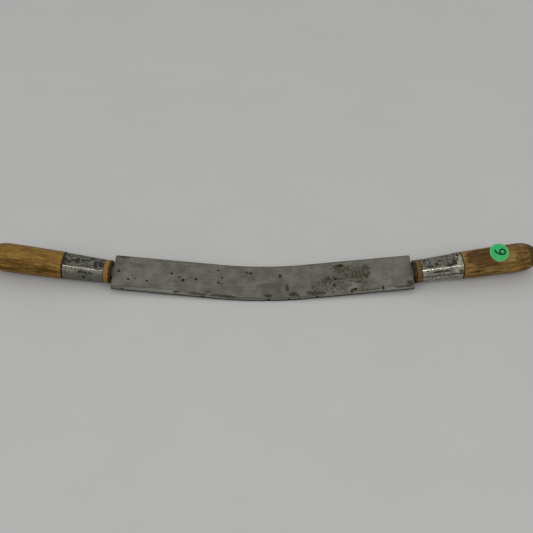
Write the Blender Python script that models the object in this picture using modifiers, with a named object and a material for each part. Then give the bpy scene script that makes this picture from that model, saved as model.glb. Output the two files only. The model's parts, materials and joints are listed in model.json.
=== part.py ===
"""Fleshing knife: a bent steel blade with a turned wooden handle and a lapped steel ferrule at each end.

The knife is modelled flat, its blade in the XY plane with the spine towards +Y. It is then tilted as one
piece, so that it lies on both handles and on the middle of its edge. Metres, +Z up, origin on the table under
its middle.
"""

import math

import bmesh
import bpy
from mathutils import Matrix, Vector

MM = 0.001

# Blade
BLADE_LENGTH = 283.3 * MM            # straight across, along the line midway between spine and edge
BLADE_WIDTH = 37.3 * MM
BLADE_THICKNESS = 3.6 * MM
BEND_RADIUS = 388.0 * MM             # of the line midway between spine and edge
WING_ANGLE = math.radians(6.2)       # turn of each straight half towards the spine
END_CUT_ANGLE = math.radians(4.6)    # lean of each end, outwards at the edge
BLADE_CORNER_RADIUS = 2.0 * MM
EDGE_BEVEL_WIDTH = 2.6 * MM
EDGE_LAND = 1.6 * MM                 # thickness left along the edge
SPINE_BEVEL_WIDTH = 2.2 * MM
SPINE_LAND = 2.2 * MM                # thickness left along the spine

# Tang
TANG_LENGTH = 92.0 * MM              # from the blade's end to the tip
TANG_ROOT_WIDTH = 10.0 * MM
TANG_TIP_WIDTH = 5.0 * MM
TANG_ROOT_FILLET = 0.8 * MM

# Ferrule
FERRULE_LENGTH = 39.4 * MM
FERRULE_NECK_RADIUS = 10.8 * MM      # outside, at the blade
FERRULE_SHOULDER_RADIUS = 12.4 * MM  # outside, at the grip
FERRULE_SHEET = 0.6 * MM
LAP_WIDTH = 10.0 * MM                # how far the sheet runs over its own end
LAP_RISE_WIDTH = 2.5 * MM            # where the sheet climbs onto the lap
LAP_GAP = 0.15 * MM                  # between the two layers
BAND_WIDTH = 6.0 * MM                # raised band at the wide end of the right ferrule
BAND_HEIGHT = 0.5 * MM
BAND_SLOPE = 0.8 * MM

# Handle
HANDLE_ANGLE = math.radians(9.2)     # turn of each handle towards the spine
BARE_TANG = 1.2 * MM                 # between the blade's end and the wood
NECK_LENGTH = 6.4 * MM               # wooden ring in front of the ferrule
NECK_STEP = 0.1 * MM                 # ring above the ferrule
NECK_ROUND = 0.9 * MM
SHOULDER_STEP = 0.45 * MM            # grip above the ferrule
SHOULDER_ROUND = 0.6 * MM
GRIP_RADIUS = 13.8 * MM
GRIP_LENGTH = 75.8 * MM              # shoulder to the end of the butt
BUTT_LENGTH = 18.5 * MM              # domed end

# Brad
BRAD_SHANK_RADIUS = 0.7 * MM
BRAD_LENGTH = 5.5 * MM               # under the head
BRAD_HEAD_RADIUS = 1.6 * MM
BRAD_HEAD_HEIGHT = 0.7 * MM
BRAD_RIM_HEIGHT = 0.25 * MM          # straight side of the head
BRAD_POINT_LENGTH = 1.4 * MM

# Sticker
STICKER_RADIUS = 9.0 * MM
STICKER_THICKNESS = 0.3 * MM
STICKER_FROM_SHOULDER = 35.9 * MM
STICKER_ANGLE = math.radians(0.0)    # from the top of the grip towards the edge side
STICKER_FREE_ANGLE = math.radians(9.0)  # on the spine side of this the stiff paper stands off straight

# Places round each handle, measured from the top towards the edge side
LEFT_BRAD_ANGLE = math.radians(73.0)
LEFT_BRAD_FROM_SHOULDER = 21.4 * MM
LEFT_LAP_BEYOND_BRAD = 6.5 * MM      # from the brad to the free end of the sheet
RIGHT_BRAD_ANGLE = math.radians(54.0)
RIGHT_BRAD_FROM_SHOULDER = 2.8 * MM
RIGHT_LAP_BEYOND_BRAD = 2.0 * MM

# Fits and faceting
CLEARANCE = 0.3 * MM
CUT_OVERRUN = 4.0 * MM               # how far a cutter reaches past what it cuts
BEND_STEPS = 12
FILLET_STEPS = 4
TURN_STEPS = 44
GRIP_STEPS = 7
BUTT_STEPS = 8
LAP_STEPS = 6
BRAD_STEPS = 12
BRAD_CROWN_STEPS = 3
STICKER_STEPS = 5
STICKER_TURNS = 32
WELD = 0.001 * MM
SHARP_ANGLE = math.radians(30.0)
TILT_LIMIT = math.radians(45.0)      # steeper than the knife can lie
TILT_HALVINGS = 50

# Derived places, on the right half
HALF_WIDTH = BLADE_WIDTH / 2
HALF_THICKNESS = BLADE_THICKNESS / 2
WING_START = Vector((BEND_RADIUS * math.sin(WING_ANGLE), BEND_RADIUS * (1 - math.cos(WING_ANGLE))))
WING_ALONG = Vector((math.cos(WING_ANGLE), math.sin(WING_ANGLE)))
BLADE_END = WING_START + WING_ALONG * ((BLADE_LENGTH / 2 - WING_START.x) / WING_ALONG.x)
END_CUT = Vector((-math.sin(END_CUT_ANGLE), math.cos(END_CUT_ANGLE)))
HANDLE_ALONG = Vector((math.cos(HANDLE_ANGLE), math.sin(HANDLE_ANGLE)))
HANDLE_ACROSS = Vector((-HANDLE_ALONG.y, HANDLE_ALONG.x))
NECK_END = BLADE_END + HANDLE_ALONG * BARE_TANG
SHOULDER_AT = NECK_LENGTH + FERRULE_LENGTH
HANDLE_LENGTH = SHOULDER_AT + GRIP_LENGTH
NECK_RADIUS = FERRULE_NECK_RADIUS + NECK_STEP
SHOULDER_RADIUS = FERRULE_SHOULDER_RADIUS + SHOULDER_STEP


def clear_scene():
    """Remove everything from the open file."""
    for found in list(bpy.data.objects):
        bpy.data.objects.remove(found, do_unlink=True)


def new_collection(name, hidden=False):
    """Collection linked to the scene."""
    made = bpy.data.collections.new(name)
    made.hide_render = hidden
    bpy.context.scene.collection.children.link(made)
    return made


def new_material(name, colour, roughness, metallic):
    """Plain Principled material."""
    made = bpy.data.materials.new(name)
    made.use_nodes = True
    made.diffuse_color = (*colour, 1.0)
    shader = made.node_tree.nodes["Principled BSDF"]
    shader.inputs["Base Color"].default_value = (*colour, 1.0)
    shader.inputs["Roughness"].default_value = roughness
    shader.inputs["Metallic"].default_value = metallic
    return made


def new_object(name, data, collection, parent):
    """Object in a collection, carried by the knife's empty."""
    made = bpy.data.objects.new(name, data)
    made.parent = parent
    collection.objects.link(made)
    return made


def as_cutter(cutter):
    """Show a cutter as wire and keep it out of pictures."""
    cutter.display_type = "WIRE"
    cutter.hide_render = True
    return cutter


def cut(target, cutter):
    """Take a cutter away from an object."""
    modifier = target.modifiers.new("cut by " + cutter.name, "BOOLEAN")
    modifier.operation = "DIFFERENCE"
    modifier.solver = "EXACT"
    modifier.object = cutter


def shade_round(target):
    """Smooth shading that keeps the turned steps sharp."""
    target.data.shade_smooth()
    target.data.set_sharp_from_angle(angle=SHARP_ANGLE)


def curve_data(name, points, cyclic):
    """Flat polyline."""
    data = bpy.data.curves.new(name, "CURVE")
    data.dimensions = "2D"
    spline = data.splines.new("POLY")
    spline.points.add(len(points) - 1)
    for target, point in zip(spline.points, points):
        target.co = (point[0], point[1], 0.0, 1.0)
    spline.use_cyclic_u = cyclic
    return data


def mesh_from_curve(name, data):
    """Welded mesh of a curve, facing outwards."""
    holder = bpy.data.objects.new(name + " curve", data)
    bpy.context.scene.collection.objects.link(holder)
    bpy.context.view_layer.update()
    evaluated = holder.evaluated_get(bpy.context.evaluated_depsgraph_get())
    mesh = bpy.data.meshes.new_from_object(evaluated)
    bpy.data.objects.remove(holder, do_unlink=True)
    shape = bmesh.new()
    shape.from_mesh(mesh)
    bmesh.ops.remove_doubles(shape, verts=shape.verts, dist=WELD)
    bmesh.ops.recalc_face_normals(shape, faces=shape.faces)
    shape.to_mesh(mesh)
    shape.free()
    mesh.name = name
    return mesh


def plate_mesh(name, points, half_thickness):
    """Flat outline with thickness."""
    data = curve_data(name, points, True)
    data.fill_mode = "BOTH"
    data.extrude = half_thickness
    return mesh_from_curve(name, data)


def swept_mesh(name, section, path):
    """Closed section carried along a path. A section point is (towards the right of the path, up)."""
    section_holder = bpy.data.objects.new(name + " section", curve_data(name + " section", section, True))
    bpy.context.scene.collection.objects.link(section_holder)
    data = curve_data(name, path, False)
    data.bevel_mode = "OBJECT"
    data.bevel_object = section_holder
    data.use_fill_caps = True
    mesh = mesh_from_curve(name, data)
    bpy.data.objects.remove(section_holder, do_unlink=True)
    return mesh


def fillet(corner, first, second, radius):
    """Arc that rounds a corner between the directions to two neighbours."""
    to_first = (first - corner).normalized()
    to_second = (second - corner).normalized()
    half_angle = to_first.angle(to_second) / 2
    middle = (to_first + to_second).normalized()
    centre = corner + middle * (radius / math.sin(half_angle))
    reach = radius / math.tan(half_angle)
    start = corner + to_first * reach - centre
    end = corner + to_second * reach - centre
    sweep = start.angle_signed(end)
    steps = range(FILLET_STEPS + 1)
    return [centre + Matrix.Rotation(-sweep * step / FILLET_STEPS, 2) @ start for step in steps]


def bend_points(offset):
    """Points of the right half of the bend, from the middle out, at an offset towards the spine."""
    radius = BEND_RADIUS - offset
    points = []
    for step in range(BEND_STEPS + 1):
        angle = WING_ANGLE * step / BEND_STEPS
        points.append(Vector((radius * math.sin(angle), BEND_RADIUS - radius * math.cos(angle))))
    return points


def mirrored(points):
    """Points of the left half, in the order that closes an outline."""
    return [Vector((-point.x, point.y)) for point in reversed(points)]


def tang_corners(grow):
    """Root and tip corners of the right tang, spine side first, grown by a fit all round."""
    tip = BLADE_END + HANDLE_ALONG * (TANG_LENGTH + grow)
    root_reach = END_CUT * (TANG_ROOT_WIDTH / 2 + grow)
    tip_reach = HANDLE_ACROSS * (TANG_TIP_WIDTH / 2 + grow)
    return [BLADE_END + root_reach, tip + tip_reach, tip - tip_reach, BLADE_END - root_reach]


def blade_outline():
    """Closed outline of the blade with both tangs."""
    reach = END_CUT * (HALF_WIDTH / math.cos(WING_ANGLE - END_CUT_ANGLE))
    spine_corner = BLADE_END + reach
    edge_corner = BLADE_END - reach
    spine_root, spine_tip, edge_tip, edge_root = tang_corners(0.0)
    spine = bend_points(HALF_WIDTH)
    edge = bend_points(-HALF_WIDTH)
    right = list(spine)
    right += fillet(spine_corner, spine[-1], spine_root, BLADE_CORNER_RADIUS)
    right += fillet(spine_root, spine_corner, spine_tip, TANG_ROOT_FILLET)
    right += [spine_tip, edge_tip]
    right += fillet(edge_root, edge_tip, edge_corner, TANG_ROOT_FILLET)
    right += fillet(edge_corner, edge_root, edge[-1], BLADE_CORNER_RADIUS)
    right += reversed(edge)
    return right + mirrored(right[1:-1])


def grinding_path(offset):
    """Line along the whole blade at an offset towards the spine, run out past both ends."""
    right = bend_points(offset)
    right.append(right[-1] + WING_ALONG * (BLADE_LENGTH / 2))
    return mirrored(right[1:]) + right


def grinding_section(width, land, face, side):
    """Triangle ground off one side of the blade: face is 1 on top, side is 1 at the spine."""
    outer = Vector((0.0, land / 2))
    inner = Vector((side * width, HALF_THICKNESS))
    slope = (inner - outer) * (CUT_OVERRUN / width)
    high = inner + slope
    low = outer - slope
    corners = [high, low, Vector((low.x, high.y))]
    return [Vector((corner.x, corner.y * face)) for corner in corners]


def make_blade(parts, cutters, knife):
    """Bent bar with its tangs, ground along edge and spine."""
    blade = new_object("blade", plate_mesh("blade", blade_outline(), HALF_THICKNESS), parts, knife)
    grinds = {
        "edge": (-HALF_WIDTH, EDGE_BEVEL_WIDTH, EDGE_LAND, -1),
        "spine": (HALF_WIDTH, SPINE_BEVEL_WIDTH, SPINE_LAND, 1),
    }
    for word, (offset, width, land, side) in grinds.items():
        for face, face_word in ((1, "upper"), (-1, "lower")):
            name = f"{face_word} {word} grind"
            mesh = swept_mesh(name, grinding_section(width, land, face, side), grinding_path(offset))
            cut(blade, as_cutter(new_object(name, mesh, cutters, knife)))
    blade.data.materials.append(new_material("blade steel", (0.115, 0.111, 0.098), 0.45, 0.8))
    return blade


def ferrule_radius(along):
    """Outside of a ferrule at a distance from its narrow end."""
    share = along / FERRULE_LENGTH
    return FERRULE_NECK_RADIUS + (FERRULE_SHOULDER_RADIUS - FERRULE_NECK_RADIUS) * share


def grip_radius(along):
    """Radius of the wood at a distance from the shoulder towards the butt."""
    straight = GRIP_LENGTH - BUTT_LENGTH
    if along <= straight:
        swell = math.sin(math.pi / 2 * along / straight)
        return SHOULDER_RADIUS + (GRIP_RADIUS - SHOULDER_RADIUS) * swell
    share = min((along - straight) / BUTT_LENGTH, 1.0)
    return GRIP_RADIUS * math.sqrt(1.0 - share * share)


def grip_profile():
    """Points (radius, distance from the neck end) of the grip, from the shoulder to the butt."""
    straight = GRIP_LENGTH - BUTT_LENGTH
    stops = [SHOULDER_ROUND + (straight - SHOULDER_ROUND) * step / GRIP_STEPS for step in range(GRIP_STEPS + 1)]
    for step in range(1, BUTT_STEPS + 1):
        stops.append(straight + BUTT_LENGTH * math.sin(math.pi / 2 * step / BUTT_STEPS))
    points = [(SHOULDER_RADIUS - SHOULDER_ROUND, SHOULDER_AT)]
    points += [(grip_radius(stop), SHOULDER_AT + stop) for stop in stops]
    points[-1] = (0.0, HANDLE_LENGTH)
    return points


def handle_profile():
    """Outer side of a handle, from the butt to the neck end."""
    lining = FERRULE_SHEET + CLEARANCE
    wide_seat = (FERRULE_SHOULDER_RADIUS - lining, SHOULDER_AT)
    narrow_seat = (FERRULE_NECK_RADIUS - lining, NECK_LENGTH)
    neck = [(NECK_RADIUS, NECK_LENGTH), (NECK_RADIUS, NECK_ROUND), (NECK_RADIUS - NECK_ROUND, 0.0), (0.0, 0.0)]
    return list(reversed(grip_profile())) + [wide_seat, narrow_seat] + neck


def turned_mesh(name, profile):
    """Profile of (radius, height) points as bare edges, for a Screw modifier."""
    mesh = bpy.data.meshes.new(name)
    edges = [(index, index + 1) for index in range(len(profile) - 1)]
    mesh.from_pydata([(radius, 0.0, height) for radius, height in profile], edges, [])
    return mesh


def turn(target, steps):
    """Turn a profile once round its Z axis."""
    modifier = target.modifiers.new("turned", "SCREW")
    modifier.steps = steps
    modifier.render_steps = steps
    modifier.use_merge_vertices = True
    modifier.merge_threshold = WELD


def handle_place(hand):
    """Frame of a handle: Z from neck end to butt, X up from the blade's face. Hand is 1 on the right."""
    along = Vector((hand * HANDLE_ALONG.x, HANDLE_ALONG.y, 0.0))
    up = Vector((0.0, 0.0, 1.0))
    axes = Matrix((up, along.cross(up), along)).transposed()
    return Matrix.Translation((hand * NECK_END.x, NECK_END.y, 0.0)) @ axes.to_4x4()


def radial_place(hand, along, angle, radius):
    """Frame on a handle with Z pointing straight out, at a distance from the neck end."""
    turned = Matrix.Rotation(hand * angle, 4, "Z")
    stand = Matrix.Rotation(math.pi / 2, 4, "Y")
    out = Matrix.Translation((radius, 0.0, 0.0)) @ stand
    return handle_place(hand) @ Matrix.Translation((0.0, 0.0, along)) @ turned @ out


def make_handle(side, hand, colour, parts, cutters, knife):
    """Turned handle with the hole its tang is driven into."""
    handle = new_object(side + "_handle", turned_mesh(side + "_handle", handle_profile()), parts, knife)
    handle.matrix_local = handle_place(hand)
    turn(handle, TURN_STEPS)
    corners = tang_corners(CLEARANCE)
    if hand < 0:
        corners = mirrored(corners)
    bore_mesh = plate_mesh(side + " tang hole", corners, HALF_THICKNESS + CLEARANCE)
    cut(handle, as_cutter(new_object(side + " tang hole", bore_mesh, cutters, knife)))
    handle.data.materials.append(new_material(side + " wood", colour, 0.5, 0.0))
    shade_round(handle)
    return handle


def sheet_points(lap_edge):
    """Angle and layer of points along the wrapped sheet, from its covered end to the free edge of the lap."""
    lap = LAP_WIDTH / FERRULE_NECK_RADIUS
    raised = lap_edge - lap
    low = raised - LAP_RISE_WIDTH / FERRULE_NECK_RADIUS
    covered = raised + CLEARANCE / FERRULE_NECK_RADIUS - 2 * math.pi
    points = [(covered + (low - covered) * step / TURN_STEPS, 0.0) for step in range(TURN_STEPS + 1)]
    points += [(raised + lap * step / LAP_STEPS, 1.0) for step in range(LAP_STEPS + 1)]
    return points


def lap_outside(radius):
    """Outside of the lap where the single sheet has this outside radius."""
    stretch = (radius - FERRULE_SHEET) / (ferrule_radius(CLEARANCE) - FERRULE_SHEET)
    return radius + (FERRULE_SHEET + LAP_GAP) * stretch


def ferrule_stations(band_height):
    """Points (distance from the narrow end, outside radius) along a ferrule."""
    stops = [(CLEARANCE, 0.0)]
    if band_height > 0.0:
        stops.append((FERRULE_LENGTH - BAND_WIDTH - BAND_SLOPE, 0.0))
        stops.append((FERRULE_LENGTH - BAND_WIDTH, band_height))
    stops.append((FERRULE_LENGTH - CLEARANCE, band_height))
    return [(along, ferrule_radius(along) + rise) for along, rise in stops]


def make_ferrule(side, hand, lap_edge, band_height, parts, knife):
    """Sheet wrapped round the groove of a handle and lapped over its own end."""
    stations = ferrule_stations(band_height)
    along, radius = stations[0]
    shape = bmesh.new()
    line = []
    for angle, layer in sheet_points(lap_edge):
        inside = radius - FERRULE_SHEET + layer * (FERRULE_SHEET + LAP_GAP)
        turned = hand * angle
        place = (inside * math.cos(turned), inside * math.sin(turned), NECK_LENGTH + along)
        line.append(shape.verts.new(place))
    edges = [shape.edges.new(pair) for pair in zip(line, line[1:])]
    for next_along, next_radius in stations[1:]:
        pulled = bmesh.ops.extrude_edge_only(shape, edges=edges)["geom"]
        verts = [item for item in pulled if isinstance(item, bmesh.types.BMVert)]
        edges = [item for item in pulled if isinstance(item, bmesh.types.BMEdge)]
        stretch = (next_radius - FERRULE_SHEET) / (radius - FERRULE_SHEET)
        bmesh.ops.scale(shape, vec=(stretch, stretch, 1.0), verts=verts)
        bmesh.ops.translate(shape, vec=(0.0, 0.0, next_along - along), verts=verts)
        along, radius = next_along, next_radius
    shape.normal_update()
    shape.faces.ensure_lookup_table()
    first = shape.faces[0]
    outwards = first.calc_center_median() * Vector((1.0, 1.0, 0.0))
    if first.normal.dot(outwards) < 0.0:
        bmesh.ops.reverse_faces(shape, faces=shape.faces)
    mesh = bpy.data.meshes.new(side + "_ferrule")
    shape.to_mesh(mesh)
    shape.free()
    ferrule = new_object(side + "_ferrule", mesh, parts, knife)
    ferrule.matrix_local = handle_place(hand)
    sheet = ferrule.modifiers.new("sheet", "SOLIDIFY")
    sheet.thickness = FERRULE_SHEET
    sheet.offset = 1.0
    sheet.use_even_offset = True
    mesh.materials.append(new_material(side + " ferrule steel", (0.110, 0.106, 0.088), 0.38, 0.8))
    shade_round(ferrule)
    return ferrule


def brad_profile():
    """Outer side of a brad, from the top of its head to its point. Height is from the underside of the head."""
    crown = [(0.0, BRAD_HEAD_HEIGHT)]
    for step in range(1, BRAD_CROWN_STEPS + 1):
        angle = math.pi / 2 * step / BRAD_CROWN_STEPS
        rise = (BRAD_HEAD_HEIGHT - BRAD_RIM_HEIGHT) * math.cos(angle)
        crown.append((BRAD_HEAD_RADIUS * math.sin(angle), BRAD_RIM_HEIGHT + rise))
    rim = (BRAD_HEAD_RADIUS, 0.0)
    neck = (BRAD_SHANK_RADIUS, 0.0)
    taper = (BRAD_SHANK_RADIUS, BRAD_POINT_LENGTH - BRAD_LENGTH)
    return crown + [rim, neck, taper, (0.0, -BRAD_LENGTH)]


def make_brad(side, place, holed, parts, cutters, knife):
    """Brad through the lap of a ferrule, with its hole in the sheet and in the wood."""
    brad = new_object(side + "_ferrule_brad", turned_mesh(side + "_ferrule_brad", brad_profile()), parts, knife)
    brad.matrix_local = place
    turn(brad, BRAD_STEPS)
    brad.data.materials.append(new_material(side + " brad steel", (0.060, 0.040, 0.026), 0.6, 0.5))
    shade_round(brad)
    name = side + " brad hole"
    hole_radius = BRAD_SHANK_RADIUS + CLEARANCE
    profile = [
        (0.0, CUT_OVERRUN),
        (hole_radius, CUT_OVERRUN),
        (hole_radius, -BRAD_LENGTH - CLEARANCE),
        (0.0, -BRAD_LENGTH - CLEARANCE),
    ]
    hole = as_cutter(new_object(name, turned_mesh(name, profile), cutters, knife))
    hole.matrix_local = place
    turn(hole, BRAD_STEPS)
    for target in holed:
        cut(target, hole)
    return brad


def make_sticker(hand, parts, knife):
    """Round paper sticker laid over the top of a grip."""
    shape = bmesh.new()
    radii = [STICKER_RADIUS * step / STICKER_STEPS for step in range(STICKER_STEPS + 1)]
    spoke = [shape.verts.new((radius, 0.0, 0.0)) for radius in radii]
    geometry = spoke + [shape.edges.new(pair) for pair in zip(spoke, spoke[1:])]
    bmesh.ops.spin(shape, geom=geometry, cent=(0, 0, 0), axis=(0, 0, 1), angle=2 * math.pi, steps=STICKER_TURNS,
                   use_merge=True)
    bmesh.ops.remove_doubles(shape, verts=shape.verts, dist=WELD)
    for vert in shape.verts:
        along = STICKER_FROM_SHOULDER + vert.co.x
        radius = grip_radius(along) + CLEARANCE
        wrapped = STICKER_ANGLE + vert.co.y / radius
        stuck = max(wrapped, STICKER_FREE_ANGLE)
        free = (wrapped - stuck) * radius
        up = radius * math.cos(stuck) - free * math.sin(stuck)
        side = radius * math.sin(stuck) + free * math.cos(stuck)
        vert.co = (up, hand * side, SHOULDER_AT + along)
    shape.normal_update()
    shape.faces.ensure_lookup_table()
    first = shape.faces[0]
    if first.normal.dot(first.calc_center_median() * Vector((1.0, 1.0, 0.0))) < 0.0:
        bmesh.ops.reverse_faces(shape, faces=shape.faces)
    mesh = bpy.data.meshes.new("lot_sticker")
    shape.to_mesh(mesh)
    shape.free()
    sticker = new_object("lot_sticker", mesh, parts, knife)
    sticker.matrix_local = handle_place(hand)
    paper = sticker.modifiers.new("paper", "SOLIDIFY")
    paper.thickness = STICKER_THICKNESS
    paper.offset = 1.0
    mesh.materials.append(new_material("green paper", (0.045, 0.385, 0.120), 0.6, 0.0))
    shade_round(sticker)
    return sticker


def handle_clearance(tilt):
    """Height of the handles' lowest point above the blade's when the knife is tilted about its length."""
    rise = math.sin(tilt)
    run = math.cos(tilt)
    land_corner = -HALF_WIDTH * rise - EDGE_LAND / 2 * run
    bevel_heel = (EDGE_BEVEL_WIDTH - HALF_WIDTH) * rise - HALF_THICKNESS * run
    drop = math.sqrt(1.0 - (HANDLE_ALONG.y * rise) ** 2)
    heights = []
    for radius, along in handle_profile():
        heights.append((NECK_END.y + HANDLE_ALONG.y * along) * rise - radius * drop)
    return min(heights) - min(land_corner, bevel_heel)


def resting_tilt():
    """Tilt at which both handles and the middle of the edge touch the table."""
    low = 0.0
    high = TILT_LIMIT
    for _ in range(TILT_HALVINGS):
        middle = (low + high) / 2
        if handle_clearance(middle) < 0.0:
            low = middle
        else:
            high = middle
    return high


def settle(knife, parts):
    """Tilt the knife to rest and bring the middle of its underside to the origin."""
    knife.rotation_euler = (resting_tilt(), 0.0, 0.0)
    bpy.context.view_layer.update()
    depsgraph = bpy.context.evaluated_depsgraph_get()
    points = []
    for part in parts.objects:
        evaluated = part.evaluated_get(depsgraph)
        points += [evaluated.matrix_world @ vertex.co for vertex in evaluated.data.vertices]
    low = Vector(min(point[axis] for point in points) for axis in range(3))
    high = Vector(max(point[axis] for point in points) for axis in range(3))
    knife.location = (-(low.x + high.x) / 2, -(low.y + high.y) / 2, -low.z)


def main():
    """Build the knife."""
    clear_scene()
    parts = new_collection("fleshing_knife")
    cutters = new_collection("cutters", hidden=True)
    knife = bpy.data.objects.new("knife", None)
    bpy.context.scene.collection.objects.link(knife)
    make_blade(parts, cutters, knife)
    left_brad = (LEFT_BRAD_ANGLE, LEFT_BRAD_FROM_SHOULDER, LEFT_LAP_BEYOND_BRAD)
    right_brad = (RIGHT_BRAD_ANGLE, RIGHT_BRAD_FROM_SHOULDER, RIGHT_LAP_BEYOND_BRAD)
    sides = (
        ("left", -1, (0.165, 0.095, 0.028), left_brad, 0.0),
        ("right", 1, (0.105, 0.062, 0.024), right_brad, BAND_HEIGHT),
    )
    for side, hand, wood, brad, band_height in sides:
        brad_angle, brad_from_shoulder, lap_beyond_brad = brad
        handle = make_handle(side, hand, wood, parts, cutters, knife)
        lap_edge = brad_angle + lap_beyond_brad / FERRULE_NECK_RADIUS
        ferrule = make_ferrule(side, hand, lap_edge, band_height, parts, knife)
        along = FERRULE_LENGTH - brad_from_shoulder
        seat = lap_outside(ferrule_radius(along) + band_height * (brad_from_shoulder < BAND_WIDTH)) + CLEARANCE
        place = radial_place(hand, NECK_LENGTH + along, brad_angle, seat)
        make_brad(side, place, (handle, ferrule), parts, cutters, knife)
    make_sticker(1, parts, knife)
    settle(knife, parts)


main()
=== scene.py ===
"""Looks of the fleshing knife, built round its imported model.

Each piece is modelled flat, in the frame of the knife or of one handle, and its place on the table is then
written into its mesh. Metres, +Z up. The file is laid out as an add-on and run as a script.
"""

import json
import math
from collections import namedtuple
from functools import partialmethod

import bmesh
import bpy
from bmesh.types import BMEdge, BMFace, BMVert
from mathutils import Matrix, Vector, noise


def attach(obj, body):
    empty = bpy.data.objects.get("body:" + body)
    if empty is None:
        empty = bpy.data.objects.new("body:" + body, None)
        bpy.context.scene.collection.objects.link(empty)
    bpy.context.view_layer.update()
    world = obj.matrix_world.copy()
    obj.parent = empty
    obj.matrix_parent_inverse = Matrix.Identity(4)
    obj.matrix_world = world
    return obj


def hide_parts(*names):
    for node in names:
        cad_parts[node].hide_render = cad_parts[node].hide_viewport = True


bl_info = {
    "name": "Fleshing Knife",
    "version": (1, 0, 0),
    "blender": (4, 5, 0),
    "location": "3D View > Sidebar > Knife",
    "description": "Worn fleshing knife with two turned handles, on a pale table",
    "category": "Add Mesh",
}

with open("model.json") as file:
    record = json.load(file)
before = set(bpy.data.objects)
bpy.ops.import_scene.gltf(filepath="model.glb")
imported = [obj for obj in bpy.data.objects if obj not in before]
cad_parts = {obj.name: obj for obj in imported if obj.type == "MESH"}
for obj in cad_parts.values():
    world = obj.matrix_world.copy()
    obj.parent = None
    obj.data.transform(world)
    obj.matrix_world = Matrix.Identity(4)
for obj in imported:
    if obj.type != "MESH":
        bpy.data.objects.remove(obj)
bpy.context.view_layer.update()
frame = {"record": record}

MM = 0.001
WELD = 0.002 * MM
SHARP_ANGLE = math.radians(32.0)
RIM_ANGLE = math.radians(60.0)
QUARTER = math.pi / 2
LEFT = -1
RIGHT = 1
SIDE_WORDS = {LEFT: "left", RIGHT: "right"}

# How finely each piece is divided
GRID = 0.8 * MM                  # along the blade
UPPER_CUTS = 42                  # across its upper face
LOWER_CUTS = 20                  # across its lower face
ROUND_SEGMENTS = 3
CORNER_STEPS = 5
FILLET_STEPS = 4
TURN_STEPS = 96
GRIP_STRIDE = 2.0 * MM
BUTT_STEPS = 16
HOLE_CUTS = 5
FERRULE_STRIDE = 1.0 * MM
BRAD_STEPS = 28
CROWN_STEPS = 8
STICKER_RINGS = 14
STICKER_TURNS = 72
PEN_STEPS = 28
FLOOR_CELLS = 8

# Place of each of the blade's steels in its list of materials, after that of its faces
BEVEL_STEEL = 1
LAND_STEEL = 2
SPINE_STEEL = 3

# Shapes, mostly as shares of the sizes below
FACING = 0.9999                  # least agreement of a flat end's normal with the way it faces
TANG_RIM = 0.62                  # share of the neck's radius where the face round the tang hole begins
GROOVE_LIP = 0.2                 # share of the groove's depth at its two lips
BAND_FALL = 0.5                  # share of its height that the raised band loses at its end
RIM_ROUND = 0.2                  # rounding of a ferrule's rims, as a share of the sheet
CROWN_FLATNESS = 0.7             # 1 makes a brad's head a dome, and less makes it flatter
HEAD_DENT = 0.12                 # unevenness of a brad's head, as a share of its height
PEN_SHIFT = 1.2                  # distance of the numeral's loop from the sticker's middle, in its radii
PAPER_RIM = 0.9                  # share of the sticker's radius where its rubbed rim begins

# Strength of wear, and of painted shade, that both hands share
UNDERSIDE_RUST = 0.28            # least rust on the blade's lower face
HAZE = 0.22                      # film all over the blade
HAZE_SWING = 0.12                # how much that film comes and goes
EDGE_SWING = 0.35                # uneven wear of the edge between its nicks
HAND_STAIN = 0.2                 # least stain on the wood
CRACK_SHADE = 0.9                 # painted shade in the gap along the shoulder
LINE_SHADE = 0.8                  # painted shade in the line cut into the neck ring
DULL_TOP = 0.9                   # dullness of a ferrule's top
BAND_RUB_AND_HIGHLIGHT = 0.75                  # how far the raised band is rubbed clean; its bright clean tin also paints part of the band's broad highlight
BACK_FADE = 0.3                  # how much of the top's darkness is gone on the spine side
BELOW_DARK = 0.46                # tarnish where a ferrule is dull below, as a share of its dullness
SEAM_SHADE = 0.9                  # painted shade, as dark tarnish, along the free edge of the lap

# Sizes of unevenness in millimetres
HAZE_SIZE = 21.0
EDGE_SIZE = 9.0
FACE_SIZE = 17.0
WOOD_SIZE = 24.0
SHEET_SIZE = 9.0
HEAD_SIZE = 0.9

# A worn place in millimetres: where its middle lies, how far it reaches both ways, and how strong it is
Mark = namedtuple("Mark", "along across length width strength", defaults=(1.0,))


def marks(*rows):
    """Worn places, from rows of their numbers."""
    return [Mark(*row) for row in rows]


# Black rust pits on the blade, along it from its middle and across it towards the spine
PITS = marks(
    (-137, 0.9, 1.9, 1.8), (-126.8, -7.2, 1.8, 1.6), (-127.1, 11.2, 1.5, 1.3, 0.7),
    (-123.2, -2.6, 1.3, 1.3, 0.7), (-120.4, -5.9, 1.5, 1.3, 0.75), (-108.8, -7.1, 1.8, 1.5),
    (-86.9, 3.5, 1.8, 1.7), (-78.8, -0.2, 1.6, 1.3, 0.85), (-75.2, -2.9, 2.2, 2.4),
    (-63.2, -0.5, 2.2, 1.7), (-43.4, 11.3, 1.6, 1.3), (-38.6, 3.3, 1.6, 1.4, 0.8),
    (-41.5, -2.5, 1.6, 1.3), (-38.4, -3.2, 1.3, 1.2, 0.8), (-11.4, 10.4, 2.1, 1.8),
    (16.6, 8, 1.4, 1.6, 0.9), (48.9, -18, 2, 1.3), (68.4, -0.8, 1.6, 1.8), (66.6, -7.6, 1.7, 1.8, 0.9),
    (75.6, 13.6, 3.5, 1.8), (82.3, -15.9, 2, 1.3), (86.3, -14.1, 2, 1.7), (112, -15.3, 1.4, 2.9),
    (23.5, -18.2, 1.8, 1), (33, -18.2, 1.5, 1, 0.8), (5, -18.2, 2.9, 1), (-54, -18.2, 2.5, 1),
    (-130.5, -17.8, 3, 1.2, 0.9),
)

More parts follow.
